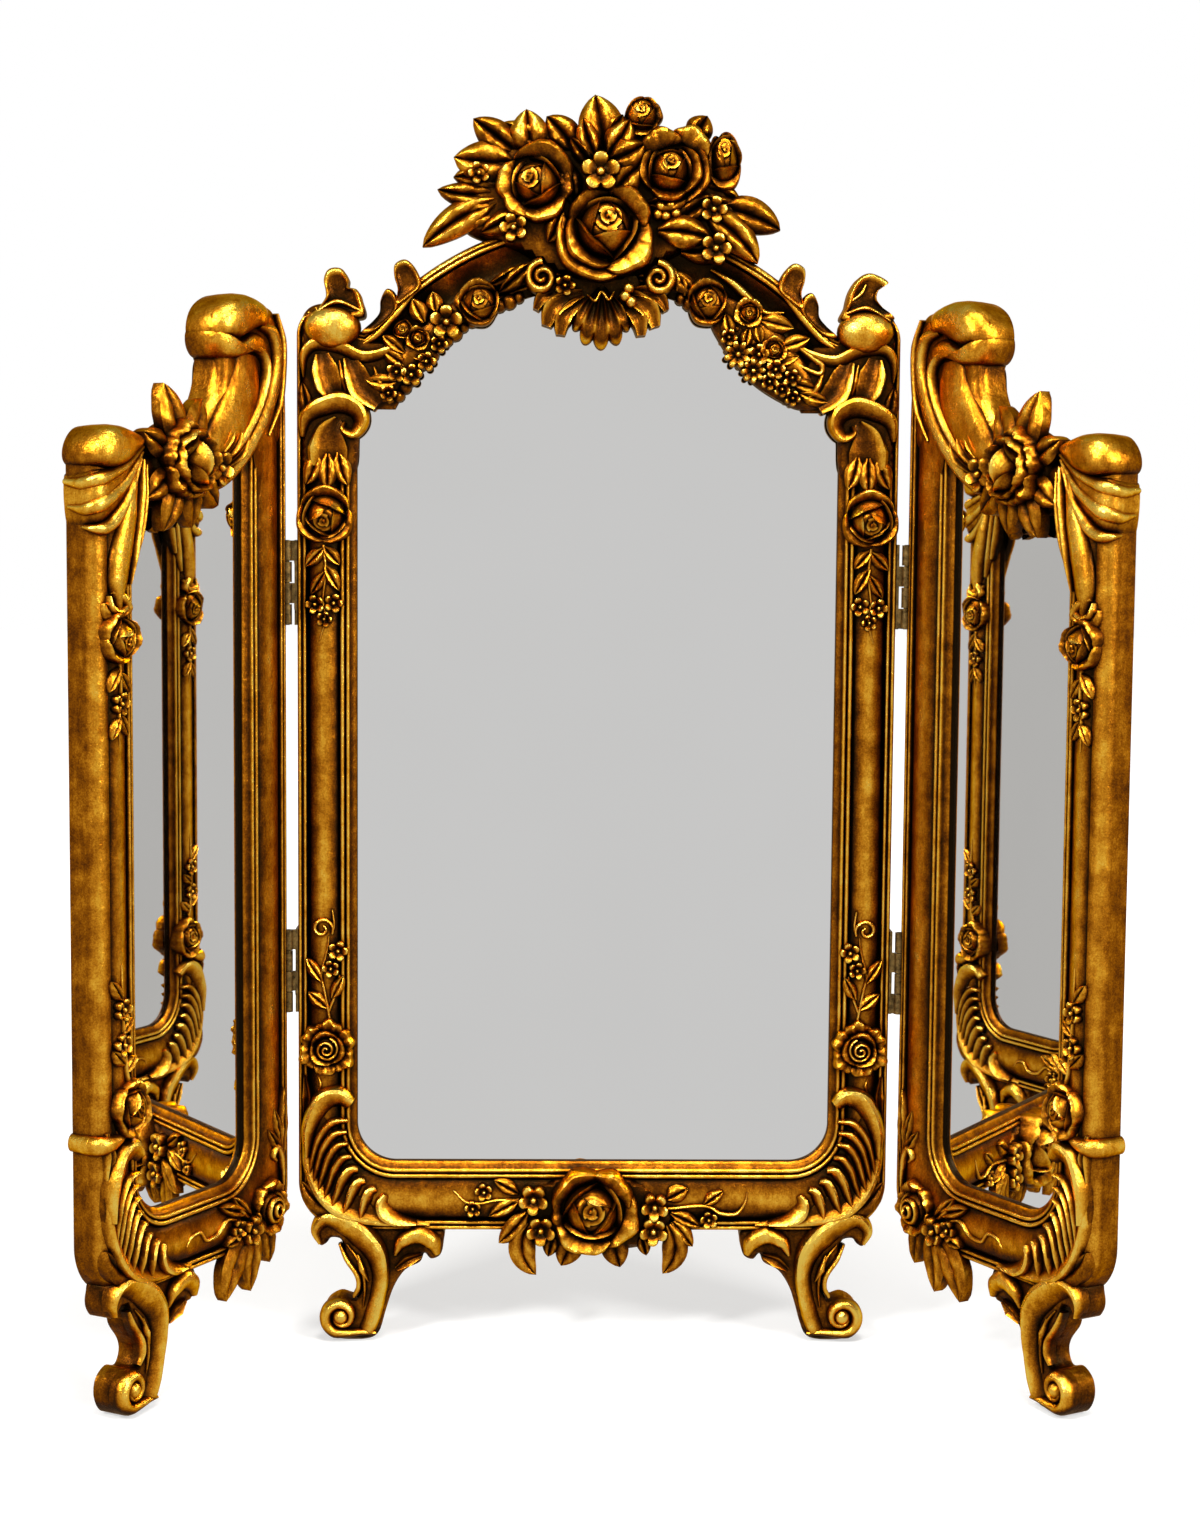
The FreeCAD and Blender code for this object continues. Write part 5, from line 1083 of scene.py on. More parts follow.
def stile_roses():
    """Both roses of the right stile with their sprays."""
    r = Relief()
    r.bud(81.6, 252.6, 0.6, 6.8, 7.2, turn=0.15, lean=(0.05, -0.35))
    petals(r, 81.6, 252.6, 0, [
        (6.2, 9.4, 0.25, 0.4, 3.2, 0.9), (6.2, 9, 0.62, 0.34, 2.8, 0.7), (6.2, 9, 0.92, 0.36, 3, 0.9),
    ])
    r.stroke([(82, 244), (81.4, 236), (82.2, 228), (81.6, 222), (83.2, 215.6)], [0.7, 0.65, 0.6, 0.5, 0.3],
        [1.6, 1.5, 1.4, 1.2, 0.7], -0.2)
    leaves(r, [
        (82, 243, 87.4, 237.6, 2.2), (82, 243.6, 77.2, 238, 2.2, 0.9, 0.6, 0, 0.9),
        (81.6, 238, 77.4, 230.4, 2.2), (81.6, 236, 85.8, 229.2, 2),
    ], (0.9, 0.6, 0, 1), **SMALL_LEAF)
    for u, v, size, turn in ((79, 226.6, 3, 0.1), (84.6, 226.2, 3, 0.2), (81.8, 221.8, 2.5, 0.3)):
        r.blossom(u, v, 0.2, size, 1.6, turn=turn)
    petals(r, 81.2, 91.6, -0.2, [(5, 8.6 + 0.5 * (k % 2), 0.1 + k / 6, 0.22, 3, 0.9) for k in range(6)],
        wave=0.12)
    petals(r, 81.2, 91.6, 0, [(3.4, 5.8, 0.2 + k / 3, 0.42, 3.8, 1) for k in range(3)], wave=0.05)
    # A dark middle under the spiral: painted shade
    r.dome(81.2, 91.6, 0.2, 4, 3.6, wear_and_painted_light=(0.1, 0.3))
    r.stroke(spiral(81.2, 91.6, 3.5, 0.4, 0.3, 2.1, 40), [0.6, 0.6, 0.55, 0.5, 0.5], 1.5,
        [2, 2.7, 3.2, 3.4, 3.5], n=60)
    r.stroke([(80.4, 100.6), (81.8, 108.6), (82.8, 114.4), (81, 122), (80.6, 126)],
        [0.65, 0.65, 0.6, 0.5, 0.35], [1.5, 1.5, 1.4, 1.2, 0.9], -0.2)
    r.stroke([(80.6, 103), (78.4, 109), (77.4, 114)], [0.6, 0.5, 0.35], [1.3, 1.2, 0.9], -0.2)
    leaves(r, [
        (81, 104, 86.8, 108.8, 2.2), (82.6, 112, 87.4, 119.2, 2), (79.6, 107, 76.2, 113.8, 1.9),
    ], (0.9, 0.6, 0, 1), **SMALL_LEAF)
    r.blossom(77.8, 121.4, 0.2, 3.2, 1.6)
    r.blossom(80, 116, 0.3, 2.8, 1.6, turn=0.2)
    curl = np.vstack([(79.6, 134), (79, 129.6), spiral(82.6, 128.2, 3.4, 0.8, 0.58, -1.25, 16)])
    r.stroke(curl, [0.4, 0.7, 0.75, 0.75, 0.6], [0.8, 1.6, 1.7, 1.7, 1.4], -0.2, n=40)
    return r


def corner_leaves():
    """Acanthus round the right lower corner of a panel."""
    r = Relief()
    bed = [
        (89, 66), (88.2, 54), (84, 45.6), (76, 39.4), (62, 36.8), (50, 36.4), (56, 38.6), (64, 41.4),
        (70, 45.6), (75.4, 52), (77.6, 60), (79.6, 67), (84, 73),
    ]
    r.pillow(bed, -3, 0.9, 1.2, 1.3, bright=0.3)
    spine = [(87.4, 68), (86.2, 56), (82.6, 47), (75.6, 40.8), (64.6, 38.4), (50, 36.8)]
    r.stroke(spine, [1.4, 2.7, 3.2, 3.2, 2.3, 0.6], [1.6, 2.6, 3.2, 3.2, 2.4, 0.8], -0.6,
        form=flipped(CREASE), n=44)
    thin, thick = [0.8, 1.5, 1.9, 1.7, 0.9], [0.9, 1.8, 2.3, 2.2, 1.3]
    fingers = [
        ([(87, 58), (86.2, 67), (82.6, 74.8), (77.8, 76.6), (74.2, 74)], [1.4, 3, 3.8, 3.4, 2], 4.2),
        ([(86.2, 52), (84.8, 59), (83, 64.2), (79.6, 68.2), (75, 69)], thin, 3.4),
        ([(85.2, 49), (83.6, 55.4), (81.8, 60.8), (78.9, 64.6), (75.2, 65.4)], thin, 3.4),
        ([(83.8, 46.4), (82.2, 52), (80.4, 57.4), (78, 61), (74.8, 61.8)], thin, 3.5),
        ([(82, 44.2), (80.2, 49.2), (78.6, 54), (76.4, 57.2), (73.8, 57.6)], thin, 3.5),
        ([(79.4, 42.2), (77.8, 46.4), (76.2, 50.6), (74.2, 53.4), (71.8, 53.6)], thick, 3.6),
        ([(75.8, 40.6), (74.4, 43.8), (73.2, 47), (71.8, 49.6), (69.6, 50.2)], thick, 3.6),
        ([(70.6, 39.2), (70, 42), (69.2, 44.6), (68.2, 46.8), (66.2, 47.6)], thick, 3.6),
        ([(54, 37.4), (59.6, 38.2), (63.2, 40.4), (64.4, 43.4), (63.2, 46)], [0.8, 2.2, 3, 2.6, 1.4], 3.6),
    ]
    for path, wide, tall in fingers:
        r.stroke(path, wide, [tall * 0.8, tall, tall, tall * 0.9, tall * 0.6], -0.6, form=CREASE, n=30)
    r.stroke([(88, 83), (87.4, 76.6), (88, 70)], [0.4, 1.4, 0.6], [0.8, 2.2, 1], -0.4, form=GUTTER)
    r.stroke([(84, 83), (83.2, 80), (84.4, 77.4)], [0.3, 0.7, 0.3], [0.6, 1.4, 0.6], -0.4)
    r.leaf((76.4, 40.6), (89, 50.2), 3.8, 0.4, 0.2, camber=1, thick=3, bow=-0.12, bright=0.55)
    return r


def apron():
    """The rose, leaves and tendrils on the lower rail."""
    r = Relief()
    back = [
        (-24, 37), (-20, 31), (-11, 29), (0, 28), (11, 29), (20, 31), (25, 36), (22, 46), (12, 51), (0, 54),
        (-12, 51), (-21, 46),
    ]
    r.pillow(back, -6, 0.6, 2, 1.6, bright=0.3)
    leaves(r, [
        (-19.4, 37.4, -17.2, 21.2, 4.2, 1.6, 0.6, -0.2, 0.9),
        (-20, 41, -28.8, 31.2, 3.2, 1.6, 0.9, 0.04, 0.85), (-12, 34, -13.6, 26.8, 2.6, 0.6, 0.2, 0, 0.8),
        (-5, 34, -9.6, 23.8, 4.2, 0.4, -0.2, 0, 0.75), (5.5, 34, 8.6, 23.4, 4.2, 0.4, -0.2, 0, 0.75),
        (23, 37, 21.6, 21.6, 4, 1.6, 0.6, 0.2, 0.8), (24.6, 38, 30.8, 30.2, 2.8, 1.2, 0.8, 0, 0.85),
        (15, 34, 16.6, 27.2, 2.2, 0.6, 0.2, 0, 0.8), (-22.6, 44.6, -31.8, 39.6, 2.7, 0.8, 0.6, 0, 1),
        (-22.6, 46.6, -30.2, 50.8, 2.3), (22.6, 45, 29.2, 48.4, 2.9), (24, 40.6, 33, 36.4, 2.5),
        (34.2, 43.4, 40, 47.6, 2.2, 0.8, 0.6, 0, 1),
    ], (0.8, 0.6, 0, 0.8), camber=1.1, thick=2.6)
    r.bud(-0.4, 41.8, 1.6, 9.6, 9, turn=0.2, lean=(0, 0.1))
    petals(r, -0.2, 41.7, 1, [
        (9.2, 13.6, 0.36, 0.36, 5.2, 0.65), (9.2, 14, 0.13, 0.26, 6, 0.85), (9.8, 15, 0.95, 0.28, 4.8, 0.9),
        (9.2, 14.2, 0.69, 0.32, 4.8, 1), (9.4, 12.6, 0.52, 0.2, 4, 0.5),
    ], wave=0.1)
    for u, v, s in ((-18.2, 45, 4.8), (-15.9, 35.4, 4.8), (18.9, 42.8, 4.5), (18.6, 35.2, 4.6)):
        r.blossom(u, v, 1.8, s, 2.2, turn=0.03 * s)
    for u, v, s in ((-33.4, 47, 2.9), (-36.7, 41.8, 2.7), (35.7, 38.4, 2.9)):
        r.blossom(u, v, 0, s, 1.6, turn=0.03 * s)
    r.stroke([(-22, 44), (-29, 44.6), (-34, 43.6), (-38.6, 43.8), (-42.6, 47.4)],
        [0.7, 0.7, 0.65, 0.6, 0.3], [1.6, 1.6, 1.5, 1.4, 0.8], -0.3, n=30)
    r.stroke([(23, 42), (34.6, 42.8), (39, 40.6), (44, 40.4), (46.6, 43.6), (47.4, 47)],
        [0.7, 0.75, 0.7, 0.65, 0.6, 0.3], [1.6, 1.6, 1.6, 1.5, 1.3, 0.8], -0.3, n=36)
    return r


def foot():
    """A foot for a frame whose right edge is at u = 90."""
    r = Relief()
    outline = [
        (83, 40), (85.6, 36.5), (85.8, 32.8), (83.6, 29.6), (81.6, 30.4), (80.2, 32), (77.2, 31.4),
        (76.6, 28), (75.6, 24.6), (72, 19.8), (71.2, 16), (73.2, 12.6), (77.6, 13.5), (81.6, 11),
        (82.6, 6.6), (80.8, 2.2), (77.4, 0.2), (69.4, 0.2), (65.6, 2.4), (63.4, 9.5), (61, 16.6),
        (57.6, 21.8), (53, 24.4), (51.6, 27.2), (49.6, 25.4), (46.8, 26.6), (45.8, 30.4), (46.4, 34.8),
        (56, 35.6), (70, 35.6),
    ]
    r.pillow(outline, -10, -1.2, 1.8, 1, soft=1.3, n=150, bright=0.32)
    knee = [
        (83.4, 30.4), (84.6, 34.6), (81.6, 38), (76.2, 36.8), (70.8, 33), (66.6, 27.6), (65.2, 21),
        (66, 14.4), (67.6, 8.2), (69.4, 3.4),
    ]
    r.stroke(knee, [0.8, 1.9, 3, 4, 4.6, 4, 3, 2.7, 2.9, 2.8],
        [1.4, 2.8, 3.8, 4.4, 4.8, 4.4, 3.5, 3.1, 3, 2.6], -1.8, form=CREASE, n=64)
    r.stroke([(77.6, 30.2), (75.4, 25.4), (72.2, 20.6), (71.7, 16.6), (73.2, 13.6)],
        [0.5, 0.9, 1, 0.9, 0.6], [1, 1.8, 2, 1.8, 1.2], -1.8, bright=0.9)
    r.stroke([(75.4, 30.2), (72.4, 26.4), (70.4, 21.4), (69.8, 15.8), (70.4, 10.6)],
        [0.3, 0.6, 0.7, 0.6, 0.3], [0.8, 1.5, 1.6, 1.4, 0.8], -1.5, bright=0.7)
    coil = np.vstack([(66.4, 2.6), (70.2, 2.8), (74.6, 2.5), spiral(77.2, 7.6, 5.2, 1.6, 0.79, 1.3, 20)])
    r.stroke(coil, [0.8, 1.9, 2, 1.7, 1.5, 1.2, 1, 0.7], [2, 3.2, 3.2, 3, 2.8, 2.6, 2.4, 2], -1.6, n=64,
        bright=0.95)
    r.dome(77.3, 7.7, -1.8, 2.8, 3.8, wear_and_painted_light=(0.3, 1))
    r.stroke([(72, 27), (70.6, 22.4), (68.8, 18.6)], [0.5, 1.3, 0.4], [1, 2.2, 0.8], -1.4, bright=0.9)
    r.stroke([(60.6, 27), (58.4, 31.2), (53.6, 33.4), (49.2, 31.2), (47.6, 27.2)], [0.9, 2.4, 3.2, 2.9, 1],
        [1.6, 3.4, 3.9, 3.6, 1.8], -1.6, n=26, bright=0.9)
    r.stroke([(60.2, 22.6), (56.6, 25.2), (52.4, 27)], [0.8, 1.9, 0.7], [1.2, 2.6, 1.4], -1.4, form=GUTTER,
        bright=0.8)
    return r


def bent(relief):
    """A carving drawn flat round a wing's outer edge: u is 0 where the front turns into the side."""
    turn = EDGE_R * math.pi / 2
    for k, points in enumerate(relief.points):
        e, v, h = points.T
        a = np.clip(e, 0, turn) / EDGE_R
        s = WING - EDGE_R + np.minimum(e, 0) + (EDGE_R + h) * np.sin(a)
        w = -EDGE_R - np.maximum(e - turn, 0) + (EDGE_R + h) * np.cos(a)
        relief.points[k] = np.stack([s, v, w], 1)
    return relief


def top_scroll():
    """The acanthus scroll at a wing's top beside the hinge."""
    r = Relief()
    body = [
        (3.4, 274), (2.2, 300), (5.4, 310.4), (13, 314.6), (27, 314.6), (35, 309.4), (34.6, 303), (32, 297),
        (33.2, 287), (38.8, 278.6), (48, 273), (57, 272), (57, 259), (46, 258.2), (34, 262.8), (24, 269.6),
        (17.6, 276.6), (9, 276),
    ]
    r.pillow(body, -4, 0.5, 3.4, 1.6, soft=2, n=140, bright=0.6)
    knob = [
        (10.6, 312.8), (16, 315.3), (22, 316.3), (28, 315.2), (33.6, 311.8), (36.3, 306.6), (35.4, 302.6),
        (28, 301.8), (22, 303.8), (16, 306.4), (10.6, 307.4),
    ]
    r.pebble(knob, -DEPTH - 0.1, 4.4, (24, 309.6), 0.95)
    lip = [
        (12.6, 305.4), (19, 306), (25.4, 303), (31, 303.2), (36, 305.2), (36.4, 301), (33.4, 297.4),
        (27.4, 296.8), (20.4, 299.4), (13.4, 301), (9.4, 298.4), (8.6, 302),
    ]
    r.pebble(lip, -DEPTH - 0.1, 3.6, (26, 300.6), 0.95)
    r.stroke([(21.6, 298.6), (22.6, 289), (28.6, 279), (38, 270.6), (47, 266.6)], [5.4, 7.4, 7.4, 6, 4],
        [2, 3.2, 3.4, 3, 1.6], -0.2, n=32, bright=0.72)
    rolls = [
        ([(46, 257.6), (34, 262.4), (24, 269.8), (14.8, 280), (8.4, 290.4), (6.4, 299), (9.4, 305.8),
         (16, 307.4)], [0.8, 2.2, 2.6, 2.8, 2.9, 2.8, 2.4, 1], [1.6, 2.8, 3.2, 3.2, 2.6, 2.6, 3, 2.4]),
        ([(39, 265), (28.6, 271.4), (19.4, 281), (14, 290.6), (13.4, 297.4), (18.6, 300.8), (26, 298.6)],
         [0.5, 1.5, 1.7, 1.7, 1.7, 1.6, 0.8], [1.4, 3.2, 3.4, 3.4, 3.2, 3.4, 2.4]),
        ([(10.4, 276), (5.2, 285), (3.4, 295), (3.4, 304), (6, 311.6)], [0.5, 1.3, 1.4, 1.4, 0.7],
         [1, 2, 2, 2, 1.2]),
    ]
    for path, wide, tall in rolls:
        r.stroke(path, wide, tall, 0, n=52)
    flutes = [
        ([(35.6, 267.6), (29.4, 273), (25, 281.6)], 1.5), ([(37.6, 269), (32.8, 274.4), (29.6, 281)], 1.4),
        ([(34, 266), (26.6, 270.6), (21.8, 278)], 1.3),
    ]
    for path, wide in flutes:
        r.stroke(path, [0.6, wide, 0.4], [1.6, 2.6, 1], 0.9, form=GUTTER, n=18)
    r.blossom(37.4, 265.6, 1.6, 5.4, 2.8, turn=0.15)
    return r


def top_rose():
    """The rose with pointed leaves on a wing's top edge."""
    r = Relief()
    back = [(45, 262), (46, 270), (51, 277), (59, 277), (66, 271), (66, 260), (60, 254), (51, 254)]
    r.pillow(back, -5, 1.6, 2.6, 1.5, bright=0.2)
    leaves(r, [
        (56, 270, 60.6, 288.4, 5.6, 1.6, 0, 0.03, 0.9), (50.6, 270, 42.6, 285, 5.2, 1.6, 0, -0.03, 0.8),
        (50.6, 263, 48.4, 248.6, 4.8, 1.6, 0.4, 0.03, 0.8),
        (57.4, 262, 61.6, 247.6, 4.8, 1.6, 0.4, -0.03, 0.7), (48, 264, 36.4, 255, 4.8, 1.6, 0.8, 0.03, 0.9),
        (61, 269, 71, 274.6, 4, 1.4, 0.8, 0, 0.8), (60, 264, 69.8, 256.6, 4.2, 1.4, 0.8, 0, 0.7),
    ], camber=1.4, thick=3.2, swell=1)
    ring = [(6.2, 11 + 0.7 * (k % 2), 0.04 + k / 6, 0.24, 5 + 0.6 * (k % 2), 0.75) for k in range(6)]
    petals(r, 54, 267, 1.6, ring, wave=0.1)
    petals(r, 54, 267, 2, [(5.6, 9, 0.2 + k / 4, 0.34, 7.4, 0.9) for k in range(4)])
    r.bud(53.6, 267, 2.4, (7.2, 8.2), 11.4, turn=0.3, lean=(-0.5, 0.15), swirl=0.05)
    return r


def corner_block():
    """The draped leaf over a wing's top outer corner and down its edge."""
    cap = Relief()
    outline = [
        (69, 272.6), (74, 275), (80.6, 276.2), (87, 275), (90.9, 270.4), (91, 265.6), (86, 263.6),
        (79, 265), (72.6, 268.8),
    ]
    cap.pebble(outline, -DEPTH - 0.3, 4.2, (82, 270), 0.8)
    r = Relief()
    folds = [
        ([(-16, 268), (-8, 261), (0, 257.2), (6, 256), (12, 255.6)], [2, 5, 7, 7.4, 7], 1.9, 0.7),
        ([(-17, 270.4), (-9, 265.2), (0, 261.6), (6, 260), (12, 260.6)], [0.8, 1.5, 2.1, 2.2, 1], 2.8,
         0.95),
        ([(-16.6, 269), (-9, 260.8), (-1, 255.6), (4.6, 253.2), (10.4, 253.8)], [0.8, 1.7, 2.3, 2.2, 0.8],
         3, 0.95),
        ([(-16, 267.2), (-10.4, 257.2), (-5, 250.8), (0, 248), (5.6, 248.4)], [0.8, 1.7, 2.1, 1.9, 0.6],
         2.9, 0.95),
        ([(-13, 263), (-9.8, 252), (-7.4, 243), (-5.6, 234), (-5.8, 226.6)], [1.6, 3.6, 4.2, 3.8, 1.6], 3.5,
         0.85),
        ([(-17, 267), (-15, 254), (-13, 243), (-10.8, 233)], [0.8, 1.5, 1.5, 0.5], 3, 1),
        ([(-18.6, 265.6), (-17.4, 255), (-15.8, 247), (-13.8, 240)], [0.6, 1.2, 1.2, 0.4], 2.4, 1),
        ([(-10, 229.6), (-6.6, 225.8), (-2.6, 226.4), (-1.6, 230)], [0.5, 1.5, 1.5, 0.6], 3, 1),
    ]
    for path, wide, tall, bright in folds:
        r.stroke(path, wide, [tall * 0.6, tall, tall, tall * 0.9, tall * 0.6], -0.5, n=32, bright=bright)
    return cap.join(bent(r))


def wing_stile_roses():
    """Both roses of a wing's outer stile with their sprays, and a roll round its edge."""
    r = Relief()
    r.stroke([(84.6, 231), (80.6, 229.4), (78.4, 226.4), (81.4, 223.6)], [0.6, 1.6, 1.5, 0.5],
        [1.2, 2.6, 2.6, 1.2], 0)
    r.leaf((82.6, 223), (87.8, 228), 2.8, 0.8, 0.6, camber=1, thick=2, rows=11, cols=9)
    r.bud(81.8, 218.6, 0.2, (5.6, 6.4), 5.6, turn=0.2, lean=(-0.15, -0.2))
    petals(r, 81.8, 218.6, 0, [
        (5, 7.4, 0.15, 0.36, 3.6, 0.9), (5, 7.4, 0.5, 0.34, 3.4, 0.8), (5, 7.4, 0.83, 0.36, 3.6, 0.9),
    ])
    r.stroke([(81.8, 212), (81.4, 204), (82.2, 196), (81.6, 189)], [0.65, 0.65, 0.6, 0.3],
        [1.5, 1.5, 1.4, 0.8], -0.2)
    leaves(r, [
        (81.6, 210.6, 86.2, 204, 2.2), (81.6, 209, 77.4, 203.6, 2.1), (81.8, 197, 85.2, 191, 1.9),
        (81.8, 197.6, 78.2, 191.8, 1.9), (81.8, 119, 86.2, 124.8, 2), (81.6, 110, 77.2, 113.6, 2),
        (81, 101, 85.8, 105.4, 2.1), (80.4, 99, 76, 102.8, 2.1),
    ], (0.8, 0.6, 0, 1), **SMALL_LEAF)
    for v, turn in ((200.6, 0.1), (116.4, 0.1), (106.6, 0.2)):
        r.blossom(81.6, v, 0.3, 3.4, 1.8, turn=turn)
    r.stroke([(81.6, 129), (81.8, 120), (81.4, 111), (80.6, 101), (79.2, 95)], [0.3, 0.6, 0.65, 0.75, 0.75],
        [0.8, 1.4, 1.5, 1.7, 1.7], -0.2)
    r.bud(79, 88.6, 0.2, (5.6, 6.6), 6, turn=0.1, lean=(-0.2, 0.1))
    petals(r, 79, 88.4, -0.2, [(4.4, 7.4, k / 4 + 0.05, 0.34, 3.8, 0.85) for k in range(4)], squeeze=1.15)
    roll = Relief()
    roll.stroke([(-9, 82.4), (-4, 80.6), (0, 79.8), (6, 79.6), (12.2, 79.8)], [0.8, 1.8, 2.6, 3, 2.6],
        [1.4, 2.4, 2.6, 2.4, 2], -0.4, n=30, bright=0.85)
    return r.join(bent(roll))


def low_rose():
    """The rose, hanging leaves and tendrils at a wing's lower corner beside the hinge."""
    r = Relief()
    leaves(r, [
        (14, 42, 11.2, 27.8, 4.2, 0.8, 0.2, -0.04, 0.8), (19, 40, 22, 21.8, 5, 1.4, 0.8, 0.05, 0.9),
        (23, 39, 33.8, 21.6, 5.6, 1, 0.4, 0.08, 0.8), (22, 44, 30, 51.8, 2.5), (24, 46, 36, 50.2, 2.3),
        (27, 40, 33.8, 38.2, 2.3),
    ], (1, 0.7, 0, 1), camber=1.2, thick=3)
    # A dark middle under the spiral: painted shade
    r.dome(12.6, 45, 0.2, 5, 4.4, wear_and_painted_light=(0.1, 0.35))
    r.stroke(spiral(12.6, 45, 4.6, 0.5, 0.3, 2.4, 44), [0.8, 0.75, 0.7, 0.6, 0.6], 1.7,
        [2, 2.9, 3.6, 4, 4.2], n=70)
    petals(r, 12.6, 45, 0, [(5, 8.4 + 0.5 * (k % 2), 0.1 + k / 5, 0.28, 3.4, 0.85) for k in range(5)],
        wave=0.1)
    r.blossom(22.8, 40.4, 1.8, 4.6, 2.2)
    r.blossom(28.6, 42, 0.8, 3.4, 1.8, turn=0.2)
    r.stroke([(26, 43.6), (33, 46), (38, 42.8), (43.4, 42.4), (46.4, 45.4), (50.6, 45), (52.8, 42.6)],
        [0.8, 0.8, 0.75, 0.7, 0.65, 0.6, 0.35], [1.8, 1.7, 1.6, 1.5, 1.5, 1.3, 0.8], -0.3, n=44)
    r.stroke([(4, 50), (5, 58), (7.4, 62.4), (9.8, 60.4), (8, 58.4)], [0.6, 1.2, 1.3, 1.1, 0.6],
        [1.2, 2, 2.2, 2, 1.4], -0.2)
    leaves(r, [
        (4.6, 58, 3.4, 80, 2.3), (5, 62, 8.8, 74.4, 2.2), (5.2, 60, 11.8, 68.4, 2.1),
    ], (0.3, 0.3, 0, 0.9), camber=1.2, thick=1.8)
    return r


def both_sides(relief):
    """A carving with its mirror image."""
    return relief.join(relief.mirrored())


# Carved pieces: name, carving, and the node that each stands for
CENTRE_CARVINGS = (
    ("crest", crest(), "centre_crest"),
    ("garlands", garlands().join(both_sides(rim_curls())), "arch_garlands"),
    ("shoulders", both_sides(shoulder()), "shoulder_scrolls"),
    ("finials", finials(), "shoulder_finials"),
    ("stile_roses", both_sides(stile_roses()), "centre_stile_roses"),
    ("corner_leaves", both_sides(corner_leaves()), "centre_corner_leaves"),
    ("apron", apron(), "centre_apron_spray"),
    ("left_foot", foot().mirrored(), "centre_left_foot"),
    ("right_foot", foot(), "centre_right_foot"),
)
WING_CARVINGS = (
    ("scroll", top_scroll, "top_scroll"),
    ("rose", top_rose, "top_rose"),
    ("block", corner_block, "corner_block"),
    ("stile_roses", wing_stile_roses, "stile_roses"),
    ("corner_leaf", corner_leaves, "corner_leaf"),
    ("low_rose", low_rose, "low_rose"),
    ("foot", foot, "foot"),
)
for name, carving, stands_for in CENTRE_CARVINGS:
    piece(f"carved_{name}", "centre", carving, stands_for)
for panel in WINGS:
    for name, carve, stands_for in WING_CARVINGS:
        piece(f"carved_{panel}_{name}", panel, carve(), f"{panel}_{stands_for}")


# Looks of the solids that show as they are, by the first of these words in their names
FINISHES = {"glass": SILVER, "board": BOARD, "clip": STEEL, "screw": STEEL, "hinge": BRASS}
for name, obj in NODES.items():
    if not obj.hide_render:
        obj.data.materials.clear()
        obj.data.materials.append(next((FINISHES[word] for word in FINISHES if word in name), GILT))


# Floor, light and camera

WHITE = (1, 1, 1, 1)
ROOM = 0.66
FLOOR_REACH = 6.0
LAMP_TARGET = Vector((0, 0, 0.18))
LAMPS = (
    ("key", (-0.8, -1.0, 1.1), 0.3, 18),
    ("fill", (0.9, -0.9, 0.8), 0.3, 12),
    ("top", (0.1, -0.5, 1.3), 0.4, 9),
)
FOCAL_PIXELS = 2540.7
LONG_SIDE_PIXELS = 1536
SENSOR = 36.0
CAMERA_PLACE = (-0.01678, -0.73098, 0.2456)
YAW, PITCH, ROLL = -0.02347, 0.08883, 0.00803


def ray_kinds(tree):
    """Whether a ray comes straight from the camera, and whether it comes by way of a mirror."""
    rays = node(tree, "ShaderNodeLightPath").outputs
    return rays["Is Camera Ray"], maths(tree, "MAXIMUM", rays["Is Glossy Ray"], rays["Is Transmission Ray"])


def mixed(tree, share, first, second):
    """Two shaders, with the share of the second."""
    return node(tree, "ShaderNodeMixShader", {0: share, 1: first, 2: second}).outputs[0]


def add_floor():
    """A pale floor, lighter further off, that mirrors show as bright as the room."""
    mesh = bpy.data.meshes.new("floor")
    a = FLOOR_REACH
    mesh.from_pydata([(-a, -a, 0), (a, -a, 0), (a, a, 0), (-a, a, 0)], [], [(0, 1, 2, 3)])
    material, tree, shader, where = new_material("pale_floor")
    direct, by_mirror = ray_kinds(tree)
    away = node(tree, "ShaderNodeVectorMath", {0: where}, operation="LENGTH").outputs["Value"]
    plug(tree, shader, {
        "Base Color": (0.55, 0.545, 0.535, 1),
        "Roughness": 0.9,
        "Specular IOR Level": 0.0,
        "Emission Color": (1, 0.995, 0.985, 1),
        "Emission Strength": maths(tree, "MULTIPLY", direct, span(tree, away, (0.56, 1), (0.25, 0.9))),
    })
    glow = node(tree, "ShaderNodeEmission", {"Color": WHITE, "Strength": ROOM}).outputs[0]
    surface = mixed(tree, by_mirror, shader.outputs[0], glow)
    plug(tree, tree.nodes["Material Output"], {"Surface": surface})
    mesh.materials.append(material)
    floor = new_object("floor", mesh)


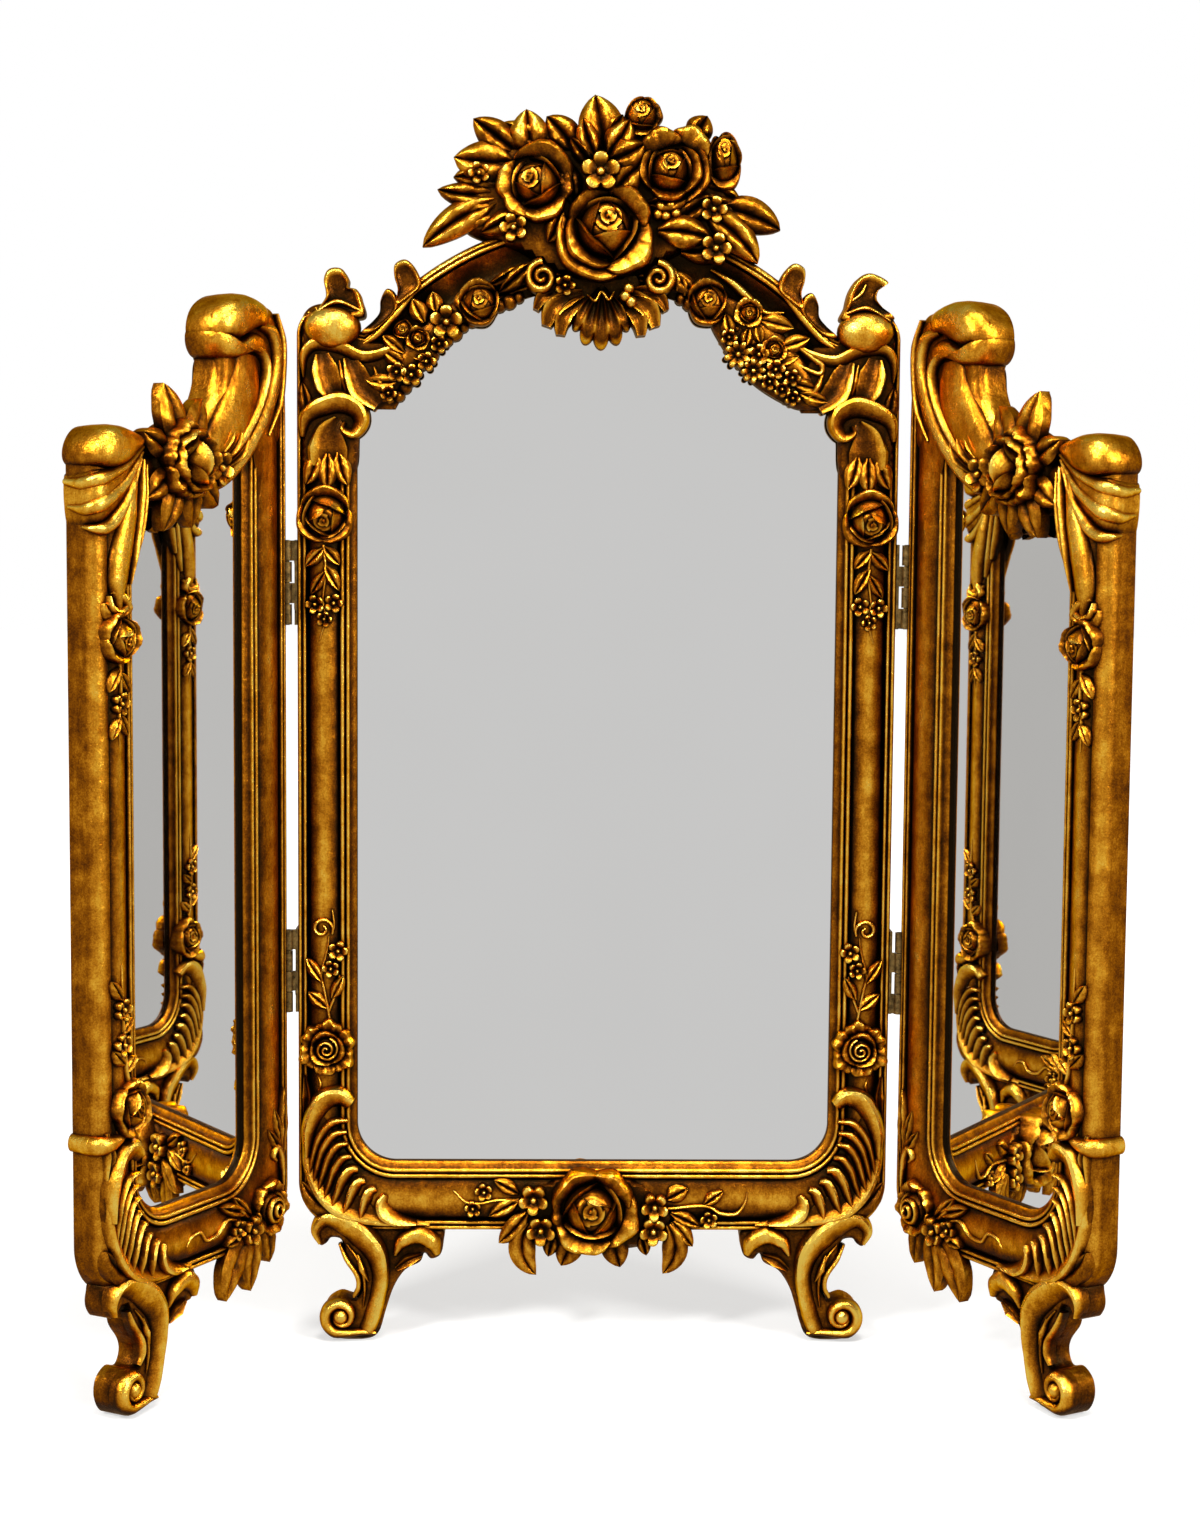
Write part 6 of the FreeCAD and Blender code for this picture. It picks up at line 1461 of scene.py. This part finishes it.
def add_world():
    """White for the camera, a dim warm light on the object, and a grey room, darker above, in the mirrors."""
    world = bpy.data.worlds.new("studio")
    world.use_nodes = True
    tree = world.node_tree
    tree.nodes.clear()
    direct, by_mirror = ray_kinds(tree)
    facing = node(tree, "ShaderNodeTexCoord").outputs["Generated"]
    height = node(tree, "ShaderNodeSeparateXYZ", {0: facing}).outputs["Z"]

    def background(colour, strength):
        return node(tree, "ShaderNodeBackground", {"Color": colour, "Strength": strength}).outputs[0]

    room = background(WHITE, span(tree, height, (ROOM, 0.25), (0.2, 0.5)))
    lit = mixed(tree, by_mirror, background((1, 0.99, 0.97, 1), 0.4), room)
    node(tree, "ShaderNodeOutputWorld", {"Surface": mixed(tree, direct, lit, background(WHITE, 1.0))})
    bpy.context.scene.world = world


def add_lamp(name, place, size, power):
    lamp = bpy.data.lights.new(name, "AREA")
    lamp.size = size
    lamp.energy = power
    obj = new_object(name, lamp)
    obj.location = place
    obj.rotation_euler = (LAMP_TARGET - Vector(place)).to_track_quat("-Z", "Y").to_euler()


def add_camera():
    """The camera that was solved from the photograph."""
    right = Vector((math.cos(YAW), math.sin(YAW), 0))
    ahead = Vector((-math.sin(YAW), math.cos(YAW), 0))
    up_axis = Vector((0, 0, 1))
    look = ahead * math.cos(PITCH) - up_axis * math.sin(PITCH)
    up = ahead * math.sin(PITCH) + up_axis * math.cos(PITCH)
    across = right * math.cos(ROLL) + up * math.sin(ROLL)
    upright = up * math.cos(ROLL) - right * math.sin(ROLL)
    camera = bpy.data.cameras.new("camera")
    camera.sensor_width = SENSOR
    camera.lens = SENSOR * FOCAL_PIXELS / LONG_SIDE_PIXELS
    camera.clip_start = 0.01
    obj = new_object("camera", camera)
    turn = Matrix((across, upright, -look)).transposed().to_4x4()
    obj.matrix_world = Matrix.Translation(CAMERA_PLACE) @ turn
    bpy.context.scene.camera = obj


add_floor()
add_world()
for lamp in LAMPS:
    add_lamp(*lamp)
add_camera()
bpy.context.scene.view_settings.view_transform = "Standard"
